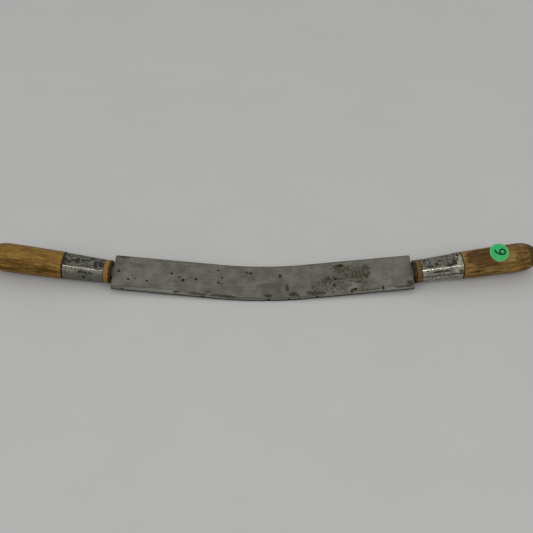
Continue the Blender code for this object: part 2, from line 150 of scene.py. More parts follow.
# Brown rust on the blade
RUST = marks(
    (-15.6, 11.2, 2.4, 2, 0.7), (17, 6.8, 2.8, 3, 0.6), (5.2, -14.2, 5, 2.4, 0.9),
    (27.5, -13.4, 5.4, 3, 0.85), (22.5, -7.5, 2.4, 7, 0.56), (31.5, -15, 3, 1.8, 0.7),
    (46.5, -14.6, 6, 2.6, 0.78), (51, -14, 4.6, 2.4, 0.72), (55.5, -15, 2.6, 1.8, 0.72),
    (64.7, -14.8, 1.8, 1.3, 0.7), (62.6, 0.2, 2.4, 2.4, 0.75), (59, -0.4, 3.2, 2, 0.6),
    (79.6, 2, 1.6, 2.6, 0.75), (85.5, 2.2, 1.4, 4.2, 0.8), (88.9, -0.2, 3.4, 3.4, 0.6),
    (92.9, 0, 1.4, 4, 0.66), (98.1, -0.8, 2.6, 3.4, 0.66), (100.7, 7, 1.3, 5.5, 0.64),
    (90.9, -5.8, 1.4, 2, 0.62), (92.4, -11.3, 1.3, 1.8, 0.7), (73.5, 13, 7, 3, 0.75),
    (84.5, -14.2, 4.4, 2.2, 0.75), (138.5, -12.8, 4, 4, 0.6), (131, -15.7, 12, 1.4, 0.75),
    (98, -15.7, 20, 1.2, 0.6), (-135, 17.2, 8, 1.5, 0.95), (-79, -15.9, 4.4, 1.5, 0.88),
    (-60, -16, 14, 1.3, 0.75), (-49.5, -13, 4.6, 1.2, 0.65), (-36, -16, 18, 1.5, 0.85),
    (-122, -15.7, 22, 1.4, 0.42),
)

# Places mottled all over with brown rust
MOTTLED = marks(
    (55, -8.5, 15, 9.5, 0.52), (52, -13, 15, 5.5, 0.5), (67, -12, 11, 6, 0.46), (64, -2, 15, 7.5, 0.56),
    (76, 10, 17, 6.5, 0.56), (89, 4, 15, 10, 0.54), (98.5, 5, 6.5, 12.5, 0.56), (93, -7, 9, 5.5, 0.5),
    (44, -13, 9, 4, 0.55), (72, -9, 17, 8, 0.5), (80, 0, 24, 12, 0.46), (14, -9.5, 5, 4, 0.45),
    (-98, -11, 4, 3, 0.42),
)

# Brown and olive film on the blade
FILM = marks(
    (-92, 8, 11, 8, 0.46), (-98, 1.5, 12, 3.5, 0.4), (-85, -9, 20, 4, 0.35), (-120, -14.2, 24, 2.4, 0.58),
    (22.8, -6, 3.4, 6.5, 0.8), (13.4, -9, 4.5, 4, 0.5), (5, -3.5, 18, 4, 0.6), (4, -12, 12, 4.5, 0.45),
    (16.5, 7, 5, 4.5, 0.5), (48, 5, 6, 7, 0.5), (72.5, -6.5, 6, 4.5, 0.75), (60, -3, 24, 14, 0.42),
    (84, 3, 26, 14, 0.5), (-11, 7, 10, 8, 0.42), (138, -12.5, 5, 4.5), (-30, 12, 30, 5, 0.34),
    (124, -2, 22, 14, 0.32),
)

# Rubbed bright places on the blade
RUBBED = marks(
    (-98, -16.3, 40, 1.1), (-48, -16.3, 14, 1.1, 0.8), (108, -16.3, 38, 1.1), (64, -16.3, 12, 1.1, 0.8),
    (120, 3, 26, 14, 0.45), (126, -6, 18, 9, 0.3), (66, -10, 16, 8, 0.55), (82, -8, 14, 7, 0.6),
    (-110, -2, 30, 12, 0.35),
)

# Nicks in the edge, along it
NICKS = marks(
    (-131, 0, 2.2, 1, 0.5), (-54.5, 0, 1.6, 1, 0.4), (5, 0, 2.6, 1, 0.6), (23.5, 0, 1.5, 1, 0.6),
    (49, 0, 2.4, 1, 0.5), (72, 0, 1.4, 1, 0.4),
)

# Dark streaks in the wood of each grip, along it from the neck end and round it from the top; the broad marks
# down the left grip's lower side and the mark at the right butt are painted shade
STREAKS_AND_SHADE = {
    LEFT: marks(
        (96, 10.5, 32, 3, 0.6), (80, 15, 44, 1.8, 0.7), (94, 18.5, 30, 1.6, 0.65), (66, 18, 16, 1.4, 0.6),
        # (84, 13) and (82, 26) are painted shade down the grip's lower side
        (58, 13.5, 12, 2.2, 0.8), (84, 13, 60, 9, 0.52), (82, 26, 60, 13, 0.3), (112, 17, 24, 6, 0.55),
        (75, -2, 26, 2.4, 0.42), (100, -6, 26, 2.6, 0.45), (86, 33, 34, 4, 0.6), (70, -25, 40, 5, 0.6),
        (90, -38, 30, 5, 0.5),
    ),
    RIGHT: marks(
        (68, 0.5, 25, 13.5, 0.95), (72, 10, 24, 4, 0.45), (100, -6, 26, 8, 0.55), (107, 6, 15, 24, 0.55),
        # (121, 6) is painted shade on the end of the butt
        (58, 15, 13, 2, 0.75), (70, 18.5, 20, 1.8, 0.6), (121, 6, 14, 34, 0.95),
        (86, 14.5, 24, 1.8, 0.45), (80, -22, 40, 8, 0.7), (90, -36, 34, 5, 0.5),
    ),
}

# Dark bruises in the wood
BRUISES = {
    LEFT: marks(
        (61, 12, 2.4, 1.1, 0.6), (52, 3, 1.6, 1.2, 0.5),
    ),
    RIGHT: marks(
        (97, 7.5, 2, 1.3, 0.75), (101, 4, 2.6, 1, 0.55), (59, 16, 4, 1.4, 0.7),
    ),
}

# Dark pitted places on each ferrule, along it from the neck end and round it from the top
TARNISH = {
    LEFT: marks(
        (43.5, 1.5, 3.6, 6, 0.65), (37.5, -1, 4, 5, 0.51), (32, -1, 3.6, 5, 0.65),
        (26.4, -1.5, 3, 3.2, 0.61), (22.5, -1.5, 3, 3, 0.58), (18, -6, 4.2, 2.6, 0.58),
        (24.5, 3.8, 5, 2, 0.54), (18.5, 3.6, 2, 2.6, 0.58), (14, 2.6, 2.6, 3.8, 0.68),
        (10.2, 0, 3, 4.4, 0.68), (7.4, 2, 1.4, 4, 0.61), (28, 9.8, 6, 2.4, 0.48),
        (22, 10.4, 5.4, 2.8, 0.55), (16.8, 10.8, 3, 2, 0.56),
    ),
    RIGHT: marks(
        (24.1, -1.2, 1.2, 2), (26.6, -0.8, 1.2, 1.6, 0.95), (42.1, -4, 2, 2), (41.2, 0.6, 1.8, 1.6, 0.95),
        (10.3, -4.2, 1.8, 1.8, 0.85), (20.6, 2, 2.4, 2.2, 0.85), (33, 4.8, 4.6, 1.6, 0.85),
        (11.3, 7.8, 2, 1.2, 0.95), (33.6, 6.8, 1, 1.2, 0.85), (24, 9.3, 13, 1.3, 0.75),
        (38, 3, 3.6, 3, 0.75), (15, 4, 4, 2, 0.7),
    ),
}

# Dents in the sheet of each ferrule
DENTS = {
    LEFT: marks(
        (21, 14.5, 3.4, 2.4, 0.6), (33, -1, 5, 4, 0.5), (12, 3, 3.5, 4, 0.5),
    ),
    RIGHT: marks(
        (23.3, -2.5, 2.2, 2.2, 0.9), (40.4, -4.5, 2.6, 2.4), (31, 6, 5, 4, 0.4),
    ),
}

# Wear and painted shade that differ from hand to hand: how clean the neck ring is, how much shade is painted
# on the neck's end and on the butt, down to which angle from the top the ferrule is weathered, how dark it is
# there and how dull below, its shine, and how rusty its brad is
Wear = namedtuple("Wear", "clean_ring end_dirt butt_dirt dull_to dark_top dull_below shine brad_rust")
WEAR = {
    LEFT: Wear(1.0, 0.95, 0.38, math.radians(21.0), 0.48, 0.56, 0.75, 0.3),
    RIGHT: Wear(0.8, 0.62, 0.5, math.radians(27.0), 0.4, 0.1, 0.45, 0.7),
}
SHOULDER_GAPS = {LEFT: 2.5, RIGHT: 1.0}     # clearances between each ferrule and the shoulder
FERRULE_REACH = 11.5                        # millimetres round a ferrule for one radian
BRAD_STAIN = 2.8                            # reach in millimetres of the rust round a brad

# Soft lights: width, height, power in watts, where each stands, and the point it is aimed at
LIGHTS = {
    "softbox": (3.4, 3.4, 14.0, (0.0, 1.8, 2.1), (0.0, 0.0, 0.0)),
    "strip light": (2.8, 0.1, 14.0, (0.0036, -2.147944, 1.769682), (0.0036, 0.0219, 0.0)),
    "left light": (1.4, 1.4, 19.0, (-2.2, -1.4, 1.6), (0.0036, 0.0219, 0.0)),
    "right light": (1.4, 1.4, 19.0, (2.2, -1.4, 1.6), (0.0036, 0.0219, 0.0)),
}


def length(label, text, millimetres):
    """Property for a size."""
    default = millimetres * MM
    return bpy.props.FloatProperty(name=label, description=text, default=default, unit="LENGTH", precision=4)


def angle(label, text, degrees):
    """Property for an angle."""
    default = math.radians(degrees)
    return bpy.props.FloatProperty(name=label, description=text, default=default, subtype="ANGLE")


def colour(label, text, default):
    """Property for a colour."""
    return bpy.props.FloatVectorProperty(
        name=label, description=text, default=default, subtype="COLOR", size=3, min=0.0, max=1.0
    )


class BladeSizes(bpy.types.PropertyGroup):
    """Sizes of the blade and its tangs."""

    length: length("Length", "Straight across, along the line midway between spine and edge", 283.3)
    width: length("Width", "From edge to spine", 37.3)
    thickness: length("Thickness", "Of the bar", 3.6)
    bend_radius: length("Bend radius", "Of the line midway between spine and edge", 388.0)
    wing_angle: angle("Wing angle", "Turn of each straight half towards the spine", 6.2)
    end_cut: angle("End cut", "Lean of each end, outwards at the edge", 4.6)
    corner_radius: length("Corner radius", "Of the four corners", 2.0)
    edge_bevel: length("Edge bevel", "Width of the bevel along the edge", 2.6)
    edge_land: length("Edge land", "Thickness left along the edge", 1.6)
    spine_bevel: length("Spine bevel", "Width of the bevel along the spine", 2.2)
    spine_land: length("Spine land", "Thickness left along the spine", 2.2)
    arris: length("Arris", "Rounding of the long corners", 0.25)
    tang_length: length("Tang length", "From the blade's end to the tip", 92.0)
    tang_root: length("Tang root", "Width of the tang at the blade", 10.0)
    tang_tip: length("Tang tip", "Width of the tang at its tip", 5.0)
    tang_fillet: length("Tang fillet", "Rounding where the tang leaves the blade", 0.8)
    pit_depth: length("Pit depth", "Depth of a rust pit", 0.28)
    waviness: length("Waviness", "Unevenness of the hand-ground faces", 0.06)
    edge_wear: length("Edge wear", "How far the edge is worn back in places", 0.3)


class HandleSizes(bpy.types.PropertyGroup):
    """Sizes of the turned handles."""

    lean: angle("Lean", "Turn of each handle towards the spine", 9.2)
    bare_tang: length("Bare tang", "Between the blade's end and the wood", 1.2)
    neck_length: length("Neck length", "Wooden ring in front of the ferrule", 6.4)
    neck_radius: length("Neck radius", "Of that ring", 10.9)
    neck_round: length("Neck round", "Rounding of the ring's front", 0.9)
    groove: length("Groove", "Depth of the line cut behind the rounding", 0.3)
    shoulder_radius: length("Shoulder radius", "Of the grip where it meets the ferrule", 12.85)
    shoulder_round: length("Shoulder round", "Rounding of the shoulder", 0.6)
    grip_radius: length("Grip radius", "Greatest radius of the grip", 13.8)
    grip_length: length("Grip length", "From the shoulder to the end of the butt", 75.8)
    butt_length: length("Butt length", "Of the domed end", 18.5)
    fit: length("Fit", "Clearance round the tang and under the ferrule", 0.3)
    unevenness: length("Unevenness", "How far the worn wood strays from round", 0.12)
    bruise_depth: length("Bruise depth", "Of a deep bruise in the wood", 0.25)


class FerruleSizes(bpy.types.PropertyGroup):
    """Sizes of the wrapped ferrules."""

    length: length("Length", "Along the handle", 39.4)
    narrow_radius: length("Narrow radius", "Outside, at the blade", 10.8)
    wide_radius: length("Wide radius", "Outside, at the grip", 12.4)
    sheet: length("Sheet", "Thickness of the steel sheet", 0.6)
    lap_width: length("Lap width", "How far the sheet runs over its own end", 10.0)
    lap_rise: length("Lap rise", "Where the sheet climbs onto the lap", 2.5)
    lap_gap: length("Lap gap", "Between the two layers", 0.15)
    band_width: length("Band width", "Raised band at the wide end of the right ferrule", 6.0)
    band_height: length("Band height", "How far the band stands up", 0.5)
    band_slope: length("Band slope", "Length of the step up to the band", 0.8)
    dent_depth: length("Dent depth", "Of the deepest dent", 0.25)
    waviness: length("Waviness", "Unevenness of the hammered sheet", 0.025)


class BradSizes(bpy.types.PropertyGroup):
    """Sizes and places of the brads through the ferrules."""

    head_radius: length("Head radius", "Of the head", 1.6)
    head_height: length("Head height", "Of the hammered head", 0.7)
    rim_height: length("Rim height", "Straight side of the head", 0.25)
    shank_radius: length("Shank radius", "Of the shank", 0.7)
    shank_length: length("Shank length", "Under the head", 5.5)
    point_length: length("Point length", "Of the tapered point", 1.4)
    left_angle: angle("Left angle", "From the top of the left handle towards the edge side", 73.0)
    left_from_shoulder: length("Left from shoulder", "Distance to the left shoulder", 21.4)
    left_lap: length("Left lap", "From the left brad to the free end of the sheet", 6.5)
    right_angle: angle("Right angle", "From the top of the right handle towards the edge side", 54.0)
    right_from_shoulder: length("Right from shoulder", "Distance to the right shoulder", 2.8)
    right_lap: length("Right lap", "From the right brad to the free end of the sheet", 2.0)


class StickerSizes(bpy.types.PropertyGroup):
    """Sizes and place of the round sticker on the right grip."""

    radius: length("Radius", "Of the sticker", 9.0)
    thickness: length("Thickness", "Of the paper", 0.18)
    from_shoulder: length("From shoulder", "Distance of its middle to the shoulder", 35.9)
    around: angle("Around", "From the top of the grip towards the edge side", 0.0)
    free_angle: angle("Free angle", "On the spine side of this the stiff paper stands off straight", 9.0)
    lift: length("Lift", "Gap between the wood and the paper", 0.2)
    pen_width: length("Pen width", "Of the numeral's stroke", 1.5)
    pen_height: length("Pen height", "Thickness of the ink, and its gap to the paper", 0.03)
    pen_loop: length("Pen loop", "Radius of the numeral's loop", 2.6)
    pen_tail: length("Pen tail", "Radius of the numeral's tail", 7.2)
    tail_sweep: angle("Tail sweep", "How far the tail is bent", 78.0)
    loop_sweep: angle("Loop sweep", "How far the loop is drawn round", 330.0)


class Finish(bpy.types.PropertyGroup):
    """Colours of the knife and of the table."""

    steel: colour("Steel", "Dull grey of the blade", (0.206, 0.203, 0.176))
    steel_dark: colour("Dark steel", "Darker cloud in the blade", (0.088, 0.085, 0.072))
    steel_bright: colour("Bright steel", "Rubbed steel", (0.26, 0.254, 0.226))
    bevel: colour("Edge bevel", "Beige grey of the ground bevel", (0.09, 0.088, 0.074))
    # Dark steel of the edge land, darkened further to paint the shade on this face turned down towards the
    # table; the brads use it as their dark steel too
    land: colour("Edge land", "Dark slate of the edge", (0.034, 0.037, 0.036))
    spine: colour("Spine bevel", "Olive grey of the spine", (0.14, 0.135, 0.108))
    film: colour("Film", "Brown olive film on the steel", (0.086, 0.07, 0.048))
    rust: colour("Rust", "Brown rust", (0.052, 0.037, 0.017))
    rust_dark: colour("Dark rust", "Black bottom of a rust pit", (0.014, 0.008, 0.002))
    left_pale: colour("Left wood", "Golden ochre of the left handle", (0.272, 0.16, 0.032))
    left_dark: colour("Left grain", "Grain of the left handle", (0.11, 0.052, 0.011))
    right_pale: colour("Right wood", "Brown ochre of the right handle", (0.305, 0.185, 0.05))
    right_dark: colour("Right grain", "Grain of the right handle", (0.096, 0.05, 0.015))
    left_ring: colour("Left neck ring", "Clean wood of the left neck ring", (0.27, 0.152, 0.034))
    right_ring: colour("Right neck ring", "Wood of the right neck ring", (0.113, 0.071, 0.028))
    # Also multiplies in the broad marks that paint shade on the left grip's lower side and on the right butt
    stain: colour("Hand stain", "What stained wood is multiplied by", (0.4, 0.33, 0.285))
    # Colour of the pores and bruises, also painted as shade in the corners, on the neck's end and on the butt
    grime: colour("Grime", "Greasy dirt in corners and on end grain", (0.022, 0.015, 0.008))
    left_tin: colour("Left ferrule", "Clean grey of the left ferrule", (0.215, 0.211, 0.174))
    right_tin: colour("Right ferrule", "Clean grey of the right ferrule", (0.525, 0.517, 0.415))
    tin_dark: colour("Dark ferrule", "Darker cloud in the clean grey", (0.09, 0.088, 0.072))
    dull: colour("Dull ferrule", "Weathered grey of their tops", (0.195, 0.19, 0.155))
    dull_dark: colour("Dark dull ferrule", "Darker cloud in the weathered grey", (0.075, 0.072, 0.058))
    tarnish: colour("Tarnish", "Dark pitted places on the ferrules", (0.02, 0.019, 0.015))
    brad: colour("Brad", "Rusted brad", (0.15, 0.103, 0.04))
    paper: colour("Sticker", "Green paper", (0.036, 0.405, 0.12))
    ink: colour("Ink", "Black pen", (0.003, 0.004, 0.0035))
    floor: colour("Floor", "Pale table", (0.47, 0.47, 0.46))


class StageSizes(bpy.types.PropertyGroup):
    """Camera, table and light."""

    elevation: angle("Elevation", "Of the camera above the table", 39.2)
    distance: length("Distance", "From the camera to what it looks at", 1067.0)
    target_x: length("Target X", "Point on the table that the camera looks at", 3.6)
    target_y: length("Target Y", "Point on the table that the camera looks at", 21.9)
    lens: bpy.props.FloatProperty(name="Lens", description="Focal length in millimetres", default=74.3)
    floor_width: length("Floor width", "Of the table", 36000.0)
    lamps: bpy.props.FloatProperty(name="Lamps", description="Share of the lights' power", default=1.0)
    fill: bpy.props.FloatProperty(name="Fill", description="Brightness of the room", default=0.52)


def sizes(*names):
    """Groups of properties on the scene, by name."""
    return [getattr(bpy.context.scene, "knife_" + name) for name in names]


# Frames of the knife and its handles


def knife_place():
    """Frame of the flat knife as it lies: X along the blade, Z up from its face, origin in its middle."""
    mounts = {mount["name"]: mount for mount in frame["record"]["mounts"]}
    upper = mounts["blade_upper_face"]
    lower = mounts["blade_lower_face"]
    along = Vector((1.0, 0.0, 0.0))
    up = Vector(upper["axis"]).normalized()
    axes = Matrix((along, up.cross(along), up)).transposed()
    middle = (Vector(upper["pos_m"]) + Vector(lower["pos_m"])) / 2
    return Matrix.Translation(middle) @ axes.to_4x4()


def wing(blade):
    """Start and direction of the straight right half of the blade's midline."""
    turn = blade.wing_angle
    start = Vector((math.sin(turn), 1.0 - math.cos(turn))) * blade.bend_radius
    return start, Vector((math.cos(turn), math.sin(turn)))


def blade_end(blade, hand):
    """Middle of the blade's end on one side."""
    start, along = wing(blade)
    end = start + along * ((blade.length / 2 - start.x) / along.x)
    return Vector((hand * end.x, end.y, 0.0))


def strip_place(blade, point):
    """How far along the blade from its middle, and how far across it towards the spine, a point lies."""
    hand = math.copysign(1.0, point.x)
    arm = Vector((abs(point.x), point.y - blade.bend_radius))
    turn = math.atan2(arm.x, -arm.y)
    if turn <= blade.wing_angle:
        return hand * blade.bend_radius * turn, blade.bend_radius - arm.length
    start, along = wing(blade)
    reach = Vector((abs(point.x), point.y)) - start
    out = blade.bend_radius * blade.wing_angle + reach.dot(along)
    return hand * out, along.x * reach.y - along.y * reach.x


def handle_place(blade, handle, hand):
    """Frame of a handle in the flat knife: Z from the neck end to the butt, X up from the blade's face."""
    along = Vector((hand * math.cos(handle.lean), math.sin(handle.lean), 0.0))
    up = Vector((0.0, 0.0, 1.0))
    axes = Matrix((up, along.cross(up), along)).transposed()
    return Matrix.Translation(blade_end(blade, hand) + along * handle.bare_tang) @ axes.to_4x4()


def shoulder_at(handle, ferrule):
    """Distance of a grip's shoulder from the neck end."""
    return handle.neck_length + ferrule.length


def ferrule_radius(ferrule, along):
    """Outside of a ferrule at a distance from its narrow end."""
    return ferrule.narrow_radius + (ferrule.wide_radius - ferrule.narrow_radius) * along / ferrule.length


def lap_outside(ferrule, radius):
    """Outside of the lap where the single sheet has this outside radius."""
    stretch = (radius - ferrule.sheet) / (ferrule.narrow_radius - ferrule.sheet)
    return radius + (ferrule.sheet + ferrule.lap_gap) * stretch


def grip_radius(handle, along):
    """Radius of the wood at a distance from the shoulder towards the butt."""
    straight = handle.grip_length - handle.butt_length
    if along <= straight:
        swell = math.sin(QUARTER * along / straight)
        return handle.shoulder_radius + (handle.grip_radius - handle.shoulder_radius) * swell
    share = min((along - straight) / handle.butt_length, 1.0)
    return handle.grip_radius * math.sqrt(1.0 - share * share)


# Mesh helpers


def picked(kind, geometry):
    """The items of one kind in what an operator gives back."""
    return [item for item in geometry if isinstance(item, kind)]


def open_rim(shape):
    """The edges with a face on one side only."""
    return [edge for edge in shape.edges if edge.is_boundary]


def everything(shape):
    """All that a shape holds."""
    return shape.verts[:] + shape.edges[:] + shape.faces[:]


def chain(shape, points):
    """Vertices joined into a line, with its edges."""
    line = [shape.verts.new(point) for point in points]
    return line + [shape.edges.new(pair) for pair in zip(line, line[1:])]


def pull(shape, edges, way):
    """Extrude edges some way, and give the new edges and vertices."""
    pulled = bmesh.ops.extrude_edge_only(shape, edges=edges)["geom"]
    bmesh.ops.translate(shape, vec=way, verts=picked(BMVert, pulled))
    return picked(BMEdge, pulled), picked(BMVert, pulled)


def weld(shape):
    """Merge doubles and turn the faces outwards."""
    bmesh.ops.remove_doubles(shape, verts=shape.verts, dist=WELD)
    bmesh.ops.recalc_face_normals(shape, faces=shape.faces)


def turned(shape, outline, steps):
    """Turn an outline of (radius, height) points once round the Z axis."""
    line = chain(shape, [(radius, 0.0, height) for radius, height in outline])
    bmesh.ops.spin(
        shape, geom=line, cent=(0, 0, 0), axis=(0, 0, 1), angle=2 * math.pi, steps=steps, use_merge=True
    )
    weld(shape)


def quarter_round(radius, height, curve):
    """Points of a small rounding about a middle at a radius and height, from its underside to its outside."""
    turns = [QUARTER * (step / FILLET_STEPS - 1.0) for step in range(FILLET_STEPS + 1)]
    return [(radius + curve * math.cos(turn), height + curve * math.sin(turn)) for turn in turns]


def ease(value, start, end):
    """0 at the start, 1 at the end, and a smooth step between them, whichever is the higher."""
    share = min(max((value - start) / (end - start), 0.0), 1.0)
    return share * share * (3.0 - 2.0 * share)


def strongest(places, along, across):
    """Strength of worn places at a point in millimetres: full in the middle of one, gone at its reach."""
    strength = 0.0
    for mark in places:
        away = ((along - mark.along) / mark.length) ** 2 + ((across - mark.across) / mark.width) ** 2
        if away < 1.0:
            strength = max(strength, mark.strength * ease(1.0 - away, 0.0, 0.8))
    return strength


def ripple(place, size, seed=0.0):
    """Smooth unevenness between -1 and 1, of a size, at a place in the same unit."""
    return noise.noise(Vector(place) / size + Vector((seed, -seed, 2.0 * seed)))


def new_layers(shape, *names):
    """Number layers on the vertices."""
    return [shape.verts.layers.float.new(name) for name in names]


def place_piece(name, shape, place, materials, node):
    """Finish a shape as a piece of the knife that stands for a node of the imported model."""
    bmesh.ops.transform(shape, matrix=place, verts=shape.verts)
    mesh = bpy.data.meshes.new(name)
    shape.to_mesh(mesh)
    shape.free()
    for material in materials:
        mesh.materials.append(material)
    mesh.shade_smooth()
    mesh.set_sharp_from_angle(angle=SHARP_ANGLE)
    piece = bpy.data.objects.new(name, mesh)
    bpy.context.scene.collection.objects.link(piece)
    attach(piece, "root")
    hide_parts(node)
    return piece


# Node helpers


class Nodes:
    """Short way to add and join the nodes of one tree."""

    def __init__(self, tree):
        self.tree = tree

    def feed(self, sockets, values):
        """Join an output to each named socket, or set the socket's own value."""
        for name, value in values.items():
            if isinstance(value, bpy.types.NodeSocket):
                self.tree.links.new(value, sockets[name])
            elif sockets[name].type == "RGBA":
                sockets[name].default_value = (*value, 1.0)
            else:
                sockets[name].default_value = value

    def add(self, kind, feeds, **settings):
        """Outputs of a new node with its settings and what feeds it."""
        node = self.tree.nodes.new(kind)
        for name, value in settings.items():
            setattr(node, name, value)
        self.feed(node.inputs, feeds)
        return node.outputs

    def group(self, builder, **feeds):
        """Outputs of a shared group, which is built the first time it is used."""
        tree = bpy.data.node_groups.get(builder.__name__) or builder()
        return self.add("ShaderNodeGroup", feeds, node_tree=tree)

    def field(self, name):
        """Number layer of the mesh."""
        return self.add("ShaderNodeAttribute", {}, attribute_name=name)["Fac"]

    def patches(self, place, name, grain, softness):
        """Number layer of the mesh, broken into ragged patches."""
        field = self.field(name)
        return self.group(ragged_patches, Place=place, Field=field, Grain=grain, Softness=softness)["Mask"]

    def noise(self, place, scale, detail, roughness):
        """Noise between 0 and 1."""
        feeds = {"Vector": place, "Scale": scale, "Detail": detail, "Roughness": roughness}
        return self.add("ShaderNodeTexNoise", feeds)[0]

    def calculate(self, operation, first, second):
        """One step of arithmetic on two values."""
        return self.add("ShaderNodeMath", {0: first, 1: second}, operation=operation)[0]

    plus = partialmethod(calculate, "ADD")
    less = partialmethod(calculate, "SUBTRACT")
    times = partialmethod(calculate, "MULTIPLY")
    over = partialmethod(calculate, "DIVIDE")
    most = partialmethod(calculate, "MAXIMUM")

    def stretch(self, place, scale):
        """Place multiplied along each axis."""
        return self.add("ShaderNodeVectorMath", {0: place, 1: scale}, operation="MULTIPLY")[0]

    def ramp(self, value, low, high, start=0.0, end=1.0):
        """Smooth step from start to end between two values."""
        feeds = {"Value": value, "From Min": low, "From Max": high, "To Min": start, "To Max": end}
        return self.add("ShaderNodeMapRange", feeds, interpolation_type="SMOOTHSTEP")[0]

    def mix(self, factor, first, second, blend="MIX"):
        """Blend of two colours."""
        feeds = {0: factor, 6: first, 7: second}
        return self.add("ShaderNodeMix", feeds, data_type="RGBA", blend_type=blend)[2]

    def bump(self, height, strength, depth):
        """Normal that follows a height."""
        feeds = {"Height": height, "Strength": strength, "Distance": depth}
        return self.add("ShaderNodeBump", feeds)["Normal"]


SOCKETS = {"Place": "NodeSocketVector"}
SOCKETS.update(dict.fromkeys(("Pale", "Dark", "Pore", "Base", "Rust", "Deep", "Colour"), "NodeSocketColor"))


def new_group(name, inputs, outputs):
    """Empty shader group with the sockets that are named, its nodes, and its inner ends."""
    tree = bpy.data.node_groups.new(name, "ShaderNodeTree")
    for way, labels in (("INPUT", inputs), ("OUTPUT", outputs)):
        for label in labels:
            tree.interface.new_socket(label, in_out=way, socket_type=SOCKETS.get(label, "NodeSocketFloat"))
    nodes = Nodes(tree)
    return tree, nodes, nodes.add("NodeGroupInput", {}), tree.nodes.new("NodeGroupOutput").inputs


def new_material(name, place, specular):
    """Material, its nodes, its shader's sockets, and places in the piece's own frame in millimetres."""
    material = bpy.data.materials.new(name)
    material.use_nodes = True
    nodes = Nodes(material.node_tree)
    shader = material.node_tree.nodes["Principled BSDF"].inputs
    shader["Specular IOR Level"].default_value = specular
    at, turn, _ = place.decompose()
    feeds = {
        "Vector": nodes.add("ShaderNodeTexCoord", {})["Object"],
        "Location": at,
        "Rotation": turn.to_euler(),
        "Scale": (MM, MM, MM),
    }
    return material, nodes, shader, nodes.add("ShaderNodeMapping", feeds, vector_type="TEXTURE")["Vector"]


def darker(tone, share):
    """Colour with only a share of its light."""
    return [channel * share for channel in tone]


# Effects that several materials share


def ragged_patches():
    """Group: a field broken by grain of a size into ragged patches with a more or less soft rim."""
    labels = ("Place", "Field", "Grain", "Softness")
    tree, nodes, given, result = new_group("ragged_patches", labels, ("Mask",))
    grain = nodes.noise(given["Place"], nodes.over(1.0, given["Grain"]), 4.0, 0.62)
    uneven = nodes.plus(given["Field"], nodes.times(nodes.less(grain, 0.5), 1.35))
    low = nodes.less(0.46, given["Softness"])
    high = nodes.plus(0.54, given["Softness"])
    nodes.feed(result, {"Mask": nodes.ramp(uneven, low, high)})
    return tree


def clouded():
    """Group: two tones in clouds of a size, with fine speckle over them."""
    labels = ("Place", "Pale", "Dark", "Size")
    tree, nodes, given, result = new_group("clouded", labels, ("Colour", "Height"))
    coarse = nodes.noise(given["Place"], nodes.over(1.0, given["Size"]), 3.0, 0.55)
    fine = nodes.noise(given["Place"], nodes.over(9.0, given["Size"]), 4.0, 0.65)
    cloud = nodes.times(nodes.ramp(coarse, 0.3, 0.72), 0.62)
    height = nodes.plus(cloud, nodes.times(nodes.ramp(fine, 0.25, 0.75), 0.38))
    nodes.feed(result, {"Height": height, "Colour": nodes.mix(height, given["Pale"], given["Dark"])})
    return tree


def rusted():
    """Group: rust of uneven depth laid over a colour."""
    labels = ("Place", "Base", "Rust", "Deep", "Mask")
    tree, nodes, given, result = new_group("rusted", labels, ("Colour", "Height"))
    crumb = nodes.noise(given["Place"], 0.9, 5.0, 0.7)
    coat = nodes.mix(nodes.ramp(crumb, 0.38, 0.64), given["Deep"], given["Rust"])
    laid = nodes.mix(given["Mask"], given["Base"], coat)
    nodes.feed(result, {"Colour": laid, "Height": nodes.times(given["Mask"], crumb)})
    return tree


def scratched():
    """Group: fine lines, where the place has been stretched along them."""
    tree, nodes, given, result = new_group("scratched", ("Place",), ("Mask",))
    broad = nodes.noise(given["Place"], 1.0, 2.0, 0.6)
    thin = nodes.noise(given["Place"], 3.7, 3.0, 0.7)
    both = nodes.plus(nodes.times(broad, 0.5), nodes.times(thin, 0.5))
    nodes.feed(result, {"Mask": nodes.ramp(both, 0.36, 0.66)})
    return tree


def wood_grain():
    """Group: open-pored wood whose fibres run along Z."""
    labels = ("Place", "Pale", "Dark", "Pore")
    tree, nodes, given, result = new_group("wood_grain", labels, ("Colour", "Height"))

    def along(share):
        return nodes.stretch(given["Place"], (1.0, 1.0, share))

    wave = {"Vector": along(0.05), "Scale": 0.085, "Distortion": 5.0, "Detail": 3.0, "Detail Scale": 0.35}
    kind = {"wave_type": "RINGS", "rings_direction": "Z", "wave_profile": "SIN"}
    rings = nodes.add("ShaderNodeTexWave", wave, **kind)["Fac"]
    fibres = nodes.noise(along(0.1), 0.8, 5.0, 0.7)
    bands = nodes.noise(along(0.12), 0.22, 4.0, 0.6)
    pores = nodes.ramp(nodes.noise(along(0.2), 1.1, 3.0, 0.65), 0.52, 0.66)
    grain = nodes.plus(nodes.times(nodes.ramp(fibres, 0.36, 0.66), 0.55), nodes.times(rings, 0.12))
    grain = nodes.plus(grain, nodes.times(nodes.ramp(bands, 0.36, 0.64), 0.38))
    wood = nodes.mix(grain, given["Pale"], given["Dark"])
    hollows = nodes.plus(nodes.times(fibres, 0.6), nodes.times(pores, 0.8))
    pored = nodes.mix(nodes.times(pores, 0.55), wood, given["Pore"])
    nodes.feed(result, {"Colour": pored, "Height": nodes.less(1.0, hollows)})
    return tree


# Materials


